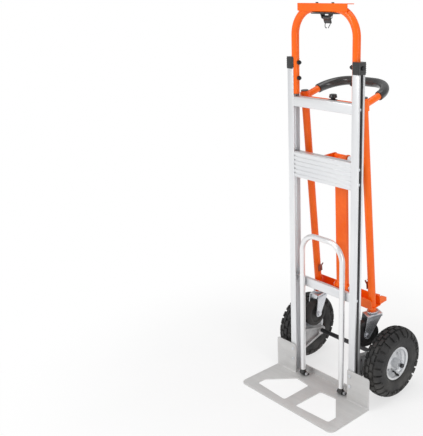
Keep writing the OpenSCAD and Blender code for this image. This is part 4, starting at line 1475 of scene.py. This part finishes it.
@dataclass
class NoseLoop(TubeLoop):
    """The folding loop in front of the rails. Sizes in millimetres."""

    leg: float = 95.0
    depth: float = 2.0
    foot: float = 32.0
    line: float = 563.5
    bend: float = 65.0
    radius: float = 9.5
    wall: float = 2.0
    steps: int = 32
    sides: int = 40

    def build(self) -> None:
        """Build the loop's pieces."""
        stand_in("nose_loop", self.loop(), POLISHED)
        eased("nose_feet", BLACK_PLASTIC, 0.6)
        eased("nose_hinges", BLACK_STEEL, 0.5)
        eased("nose_pins", ZINC, 0.5)


# ---------------------------------------------------------------- strut and caster frame


@dataclass
class FoldingStrut:
    """The strut between the truck and the caster frame, with its bracket and pins. Sizes in mm."""

    edge: float = 1.2

    def build(self) -> None:
        """Build the strut's pieces."""
        eased("folding_strut", ORANGE, self.edge)
        eased("strut_bushes", NYLON, 0.4)
        eased("strut_bracket", ORANGE, self.edge / 2)
        eased("strut_top_pin", ZINC, 0.6)


@dataclass
class CasterFrame:
    """The leaning frame: two posts, a grip loop and two crossmembers. Sizes in millimetres."""

    post: float = 131.0
    foot: float = -57.0
    head: float = 689.0
    radius: float = 13.0
    wall: float = 2.0
    grip_height: float = 669.0
    grip_rise: float = 12.5
    grip_half: float = 134.5
    grip_reach: float = 160.0
    grip_bend: float = 92.0
    grip_radius: float = 11.0
    foam_radius: float = 15.5
    foam_start: float = 68.0
    foam_edge: float = 3.5
    swell: float = 0.25
    axes: Axes = field(default_factory=stowed_axes)

    def post_tube(self) -> Surface:
        """Make one post along the frame's own height."""
        path = np.array([(self.post, 0, self.foot), (self.post, 0, self.head)], float) * MM
        return tube(path, (0, 1, 0), self.radius * MM, (self.radius - self.wall) * MM, 48).placed(self.axes)

    def grip_axes(self) -> Axes:
        """Give the grip loop's own axes.

        Returns:
            The axes, tipped up behind the posts.
        """
        rise = math.radians(self.grip_rise)
        own = Axes(
            (0, 0, self.grip_height * MM), (1, 0, 0), (0, math.cos(rise), math.sin(rise)),
            (0, -math.sin(rise), math.cos(rise)),
        )
        return own.inside(self.axes)

    def grip_path(self, start: float, steps: int) -> Array:
        """Draw the grip loop's centre line from one end round to the other.

        Args:
            start: How far behind the posts it starts.
            steps: Segments in each bend.

        Returns:
            Points in metres on the grip's own axes.
        """
        centre = (self.grip_half - self.grip_bend, self.grip_reach - self.grip_bend)
        right = arc(centre, self.grip_bend, 0, 90, steps)
        flat = np.concatenate([right, right[::-1] * (-1, 1)])
        if start < centre[1]:
            ends = np.array([(self.grip_half, start), (-self.grip_half, start)])
            flat = np.concatenate([ends[:1], flat, ends[1:]])
        return np.insert(flat, 2, 0.0, axis=1) * MM

    def grip(self) -> Surface:
        """Carry the grip's tube round its path.

        Returns:
            The closed tube.
        """
        path = self.grip_path(6.0, 32)
        inner = (self.grip_radius - self.wall) * MM
        return tube(path, (0, 0, 1), self.grip_radius * MM, inner, 40).placed(self.grip_axes())

    def foam(self) -> Surface:
        """Carry the foam sleeve round the bends and the back.

        Its radius falls to the tube's at both ends as a quarter circle, and swells a little
        three times on the way as a cosine.

        Returns:
            The closed sleeve.
        """
        path = resampled(self.grip_path(self.foam_start, 60), 180)
        along = lengths_along(path) / MM
        edge = np.clip(np.minimum(along, along[-1] - along) / self.foam_edge, 0, 1)
        low = self.grip_radius + 0.2
        radius = low + (self.foam_radius - low) * np.sqrt(1 - (1 - edge) ** 2)
        radius = radius - self.swell * np.cos(along / along[-1] * math.pi * 6) * edge
        radius = np.minimum(radius, self.foam_radius)
        radius[[0, -1]] = low + 0.1
        return tube(path, (0, 0, 1), radius * MM, (self.grip_radius + 0.1) * MM, 56).placed(self.grip_axes())

    def build(self) -> None:
        """Build the frame's pieces."""
        post = self.post_tube()
        stand_in("right_post", post, ORANGE)
        stand_in("left_post", post.mirrored(), ORANGE)
        stand_in("grip_loop", self.grip(), ORANGE)
        foam = stand_in("grip_foam", self.foam(), FOAM)
        eased("post_caps", BLACK_PLASTIC, 0.8)
        eased("top_crossmember", ORANGE, 0.8)
        eased("bottom_crossmember", ORANGE, 0.8)
        eased("strut_clevis", ORANGE, 0.6)
        eased("clevis_pin", ZINC, 0.6)
        eased("foot_pedal", ORANGE, 0.6)
        eased("post_clips", DARK_CLIP, 0.4)
        eased("caster_mounts", ZINC, 0.6)


@dataclass
class SwivelCaster:
    """One swivelling caster: its fork, bolt and wheel. Sizes in millimetres."""

    side: Side
    turn: float
    post: float = 131.0
    trail: float = 34.0
    axle: float = -139.0
    top: float = -65.6
    gap: float = 18.5
    sheet: float = 3.0
    front: float = -30.0
    back: float = 28.0
    nose: float = 13.0
    radius: float = 50.0
    half: float = 15.0

    def axes(self) -> Axes:
        """Give the caster's own axes.

        Returns:
            The axes, turned about its swivel.
        """
        middle = stowed_axes()
        origin = middle.place(np.array([self.side.value * self.post * MM, 0, 0]))
        return turned(replace(middle, origin=tuple(origin)), self.turn)

    def leg(self) -> Surface:
        """Make one side of the fork, tapering to a round end about the wheel's bolt.

        The two sloping edges are the tangents from the crown's corners to the round end.

        Returns:
            The closed right leg.
        """
        centre = np.array([-self.trail, self.axle])
        corners = np.array([(self.front, self.top - 4), (self.back, self.top - 4)])
        away = corners - centre
        lean = np.degrees(np.arctan2(away[:, 1], away[:, 0]))
        open_angle = np.degrees(np.arccos(self.nose / np.linalg.norm(away, axis=1)))
        first, last = lean[0] + open_angle[0], lean[1] - open_angle[1] + 360
        round_end = arc(tuple(centre), self.nose, first, last, 28)
        under, high = self.top - 4, self.top - 1
        head = [(self.back, under), (self.back, high), (self.front, high), (self.front, under)]
        outline = np.concatenate([round_end, head]) * MM
        return plate(outline, self.gap * MM, (self.gap + self.sheet) * MM, 0.5 * MM).placed(SECTION_ALONG_X)

    def crown(self) -> Surface:
        """Bend the sheet over the wheel, round at both shoulders.

        Returns:
            The closed crown.
        """
        reach, low, bend = self.gap + self.sheet, self.top - 12, 5.0
        centre = (reach - bend, self.top - bend)
        sides = []
        for foot, radius in ((reach, bend), (reach - self.sheet, bend - self.sheet)):
            right = np.concatenate([[(foot, low)], arc(centre, radius, 0, 90, 8)])
            sides.append(np.concatenate([right, right[::-1] * (-1, 1)]))
        outline = np.concatenate([sides[0], sides[1][::-1]]) * MM
        return plate(outline, -self.back * MM, -self.front * MM, 0.4 * MM).placed(SECTION_ALONG_Y)

    def race(self) -> Surface:
        """Turn the swivel's pressed race under the crown.

        Returns:
            The closed race.
        """
        rim = [(6.3, -2), (17, -2), (18, -3.2), (18, -8.6), (16.8, -10.4), (12, -11.4)]
        profile = np.array(rim + [(9.6, -11.4), (9.6, -4), (6.3, -4)])
        return lathe((profile + (0, self.top)) * MM, UPRIGHT, 72)

    def wheel(self) -> Surface:
        """Turn the wheel with a crowned tread, hollow sides and a hub.

        Returns:
            The closed wheel, on the caster's own axes.
        """
        r, h = self.radius, self.half
        hub = [(5.1, 0), (5.1, h + 2), (10.6, h + 2), (11.2, h + 1.2), (13, h - 3.2), (16, h - 4.4)]
        side = [(r - 20, h - 4.8), (r - 16.5, h - 3.4), (r - 14.4, h - 1.3), (r - 13.2, h - 1)]
        tread = [(r - 6, h - 1), (r - 3, h - 1.8), (r - 1.3, h - 4.2), (r - 0.4, h - 8.5), (r, 0)]
        whole = both_ways(hub + side + tread)
        place = Axes((0, -self.trail * MM, self.axle * MM), (0, 1, 0), (0, 0, 1), (1, 0, 0))
        radii = [0.3] + [1.0] * (len(whole) - 1)
        return lathe(rounded(whole.tolist(), radii, 3) * MM, place, 96)

    def build(self) -> None:
        """Build the caster's pieces."""
        word, axes = self.side.word, self.axes()
        fork = joined(self.leg().with_mirror(), self.crown(), self.race())
        stand_in(f"{word}_fork", fork.placed(axes), ZINC)
        eased(f"caster_bolts_{word}", ZINC, 0.9)
        stand_in(f"{word}_caster_wheel", self.wheel().placed(axes), CASTER_RUBBER)


# ---------------------------------------------------------------- studio


@dataclass
class Studio:
    """The floor, the soft lights and the camera. Sizes in metres."""

    eye: tuple[float, float, float] = (1.5320, -1.5707, 1.3403)
    ahead: tuple[float, float, float] = (-0.6542, 0.6943, -0.3000)
    roll: float = 0.32
    lens: float = 56.74
    shift: Pair = (-0.278, -0.007)
    floor_size: float = 30.0

    def camera(self) -> None:
        """Set up the camera."""
        data = bpy.data.cameras.new("studio camera")
        data.lens = self.lens
        data.sensor_width = 36.0
        data.shift_x, data.shift_y = self.shift
        data.dof.use_dof = False
        data.clip_start, data.clip_end = 0.05, 60.0
        camera = bpy.data.objects.new("studio camera", data)
        bpy.context.scene.collection.objects.link(camera)
        camera.rotation_mode = "QUATERNION"
        turn = Vector(self.ahead).to_track_quat("-Z", "Y").to_matrix()
        camera.rotation_quaternion = (turn @ Matrix.Rotation(math.radians(self.roll), 3, "Z")).to_quaternion()
        camera.location = self.eye
        bpy.context.scene.camera = camera

    def floor(self) -> None:
        """Lay a pale floor with a faint mottle, which fades into the backdrop far from the truck."""
        reach = self.floor_size / 2
        mesh = bpy.data.meshes.new("studio floor")
        corners = [(-reach, -reach, 0), (reach, -reach, 0), (reach, reach, 0), (-reach, reach, 0)]
        mesh.from_pydata(corners, [], [(0, 1, 2, 3)])
        floor = bpy.data.objects.new("studio_floor", mesh)
        bpy.context.scene.collection.objects.link(floor)
        material = bpy.data.materials.new("pale floor")
        material.use_nodes = True
        wiring = Wiring(material.node_tree)
        shader = material.node_tree.nodes["Principled BSDF"]
        place = wiring.add("TexCoord").outputs["Object"]
        share = wiring.ramp(wiring.noise(place, 3.0), 0.3, 0.7, 0.0, 1.0)
        colour = wiring.blend(share, (0.93, 0.93, 0.93, 1.0), (0.9, 0.9, 0.9, 1.0))
        wiring.tree.links.new(colour, shader.inputs["Base Color"])
        shader.inputs["Roughness"].default_value = 0.75
        away = wiring.add("VectorMath", {0: place}, operation="LENGTH").outputs["Value"]
        glow = wiring.add("Emission", {"Color": (1.0, 1.0, 1.0, 1.0), "Strength": 1.0})
        far = wiring.ramp(away, 0.45, 1.2, 0.66, 1.0)
        faded = wiring.add("MixShader", {0: far, 1: shader.outputs[0], 2: glow.outputs[0]})
        wiring.tree.links.new(faded.outputs[0], material.node_tree.nodes["Material Output"].inputs[0])
        mesh.materials.append(material)

    def lamp(self, name: str, place: tuple, aim: tuple, size: Pair, power: float) -> None:
        """Hang a soft rectangular light.

        Args:
            name: The light's name.
            place: Where it hangs.
            aim: The point that it faces.
            size: Its width and height.
            power: Its power in watts.
        """
        data = bpy.data.lights.new(name, "AREA")
        data.shape = "RECTANGLE"
        data.size, data.size_y = size
        data.energy = power
        lamp = bpy.data.objects.new(name, data)
        lamp.location = place
        lamp.rotation_mode = "QUATERNION"
        lamp.rotation_quaternion = (Vector(aim) - Vector(place)).to_track_quat("-Z", "Y")
        bpy.context.scene.collection.objects.link(lamp)

    def world(self) -> None:
        """Surround the truck with soft light and a white backdrop."""
        world = bpy.data.worlds.new("studio")
        world.use_nodes = True
        wiring = Wiring(world.node_tree)
        soft = world.node_tree.nodes["Background"]
        soft.inputs["Color"].default_value = (1.0, 1.0, 1.0, 1.0)
        soft.inputs["Strength"].default_value = 0.5
        white = wiring.add("Background", {"Color": (1.0, 1.0, 1.0, 1.0), "Strength": 1.0})
        seen = wiring.add("LightPath").outputs["Is Camera Ray"]
        mixed = wiring.add("MixShader", {0: seen, 1: soft.outputs[0], 2: white.outputs[0]})
        wiring.tree.links.new(mixed.outputs[0], world.node_tree.nodes["World Output"].inputs[0])
        bpy.context.scene.world = world

    def build(self) -> None:
        """Set up the whole studio."""
        self.floor()
        self.world()
        middle = (0.0, 0.05, 0.65)
        self.lamp("key", (-0.9, -2.9, 2.4), middle, (1.5, 1.5), 42.0)
        self.lamp("side", (3.0, -0.4, 1.5), middle, (0.7, 2.4), 20.0)
        self.lamp("top", (0.2, 0.3, 3.4), middle, (2.0, 2.0), 26.0)
        self.camera()
        bpy.context.scene.view_settings.view_transform = "Standard"


# ---------------------------------------------------------------- the whole truck


def main() -> None:
    """Build the truck and the studio, and report each piece."""
    logging.basicConfig(level=logging.INFO, format="%(name)s: %(message)s")
    assemblies = [
        RailFrame(), ToePlate(), Undercarriage(), MainWheel(Side.LEFT), MainWheel(Side.RIGHT), LoopHandle(),
        StowKnob(), NoseLoop(), FoldingStrut(), CasterFrame(), SwivelCaster(Side.LEFT, 4.0),
        SwivelCaster(Side.RIGHT, -22.0), Studio(),
    ]
    for assembly in assemblies:
        assembly.build()


if __name__ == "__main__":
    main()
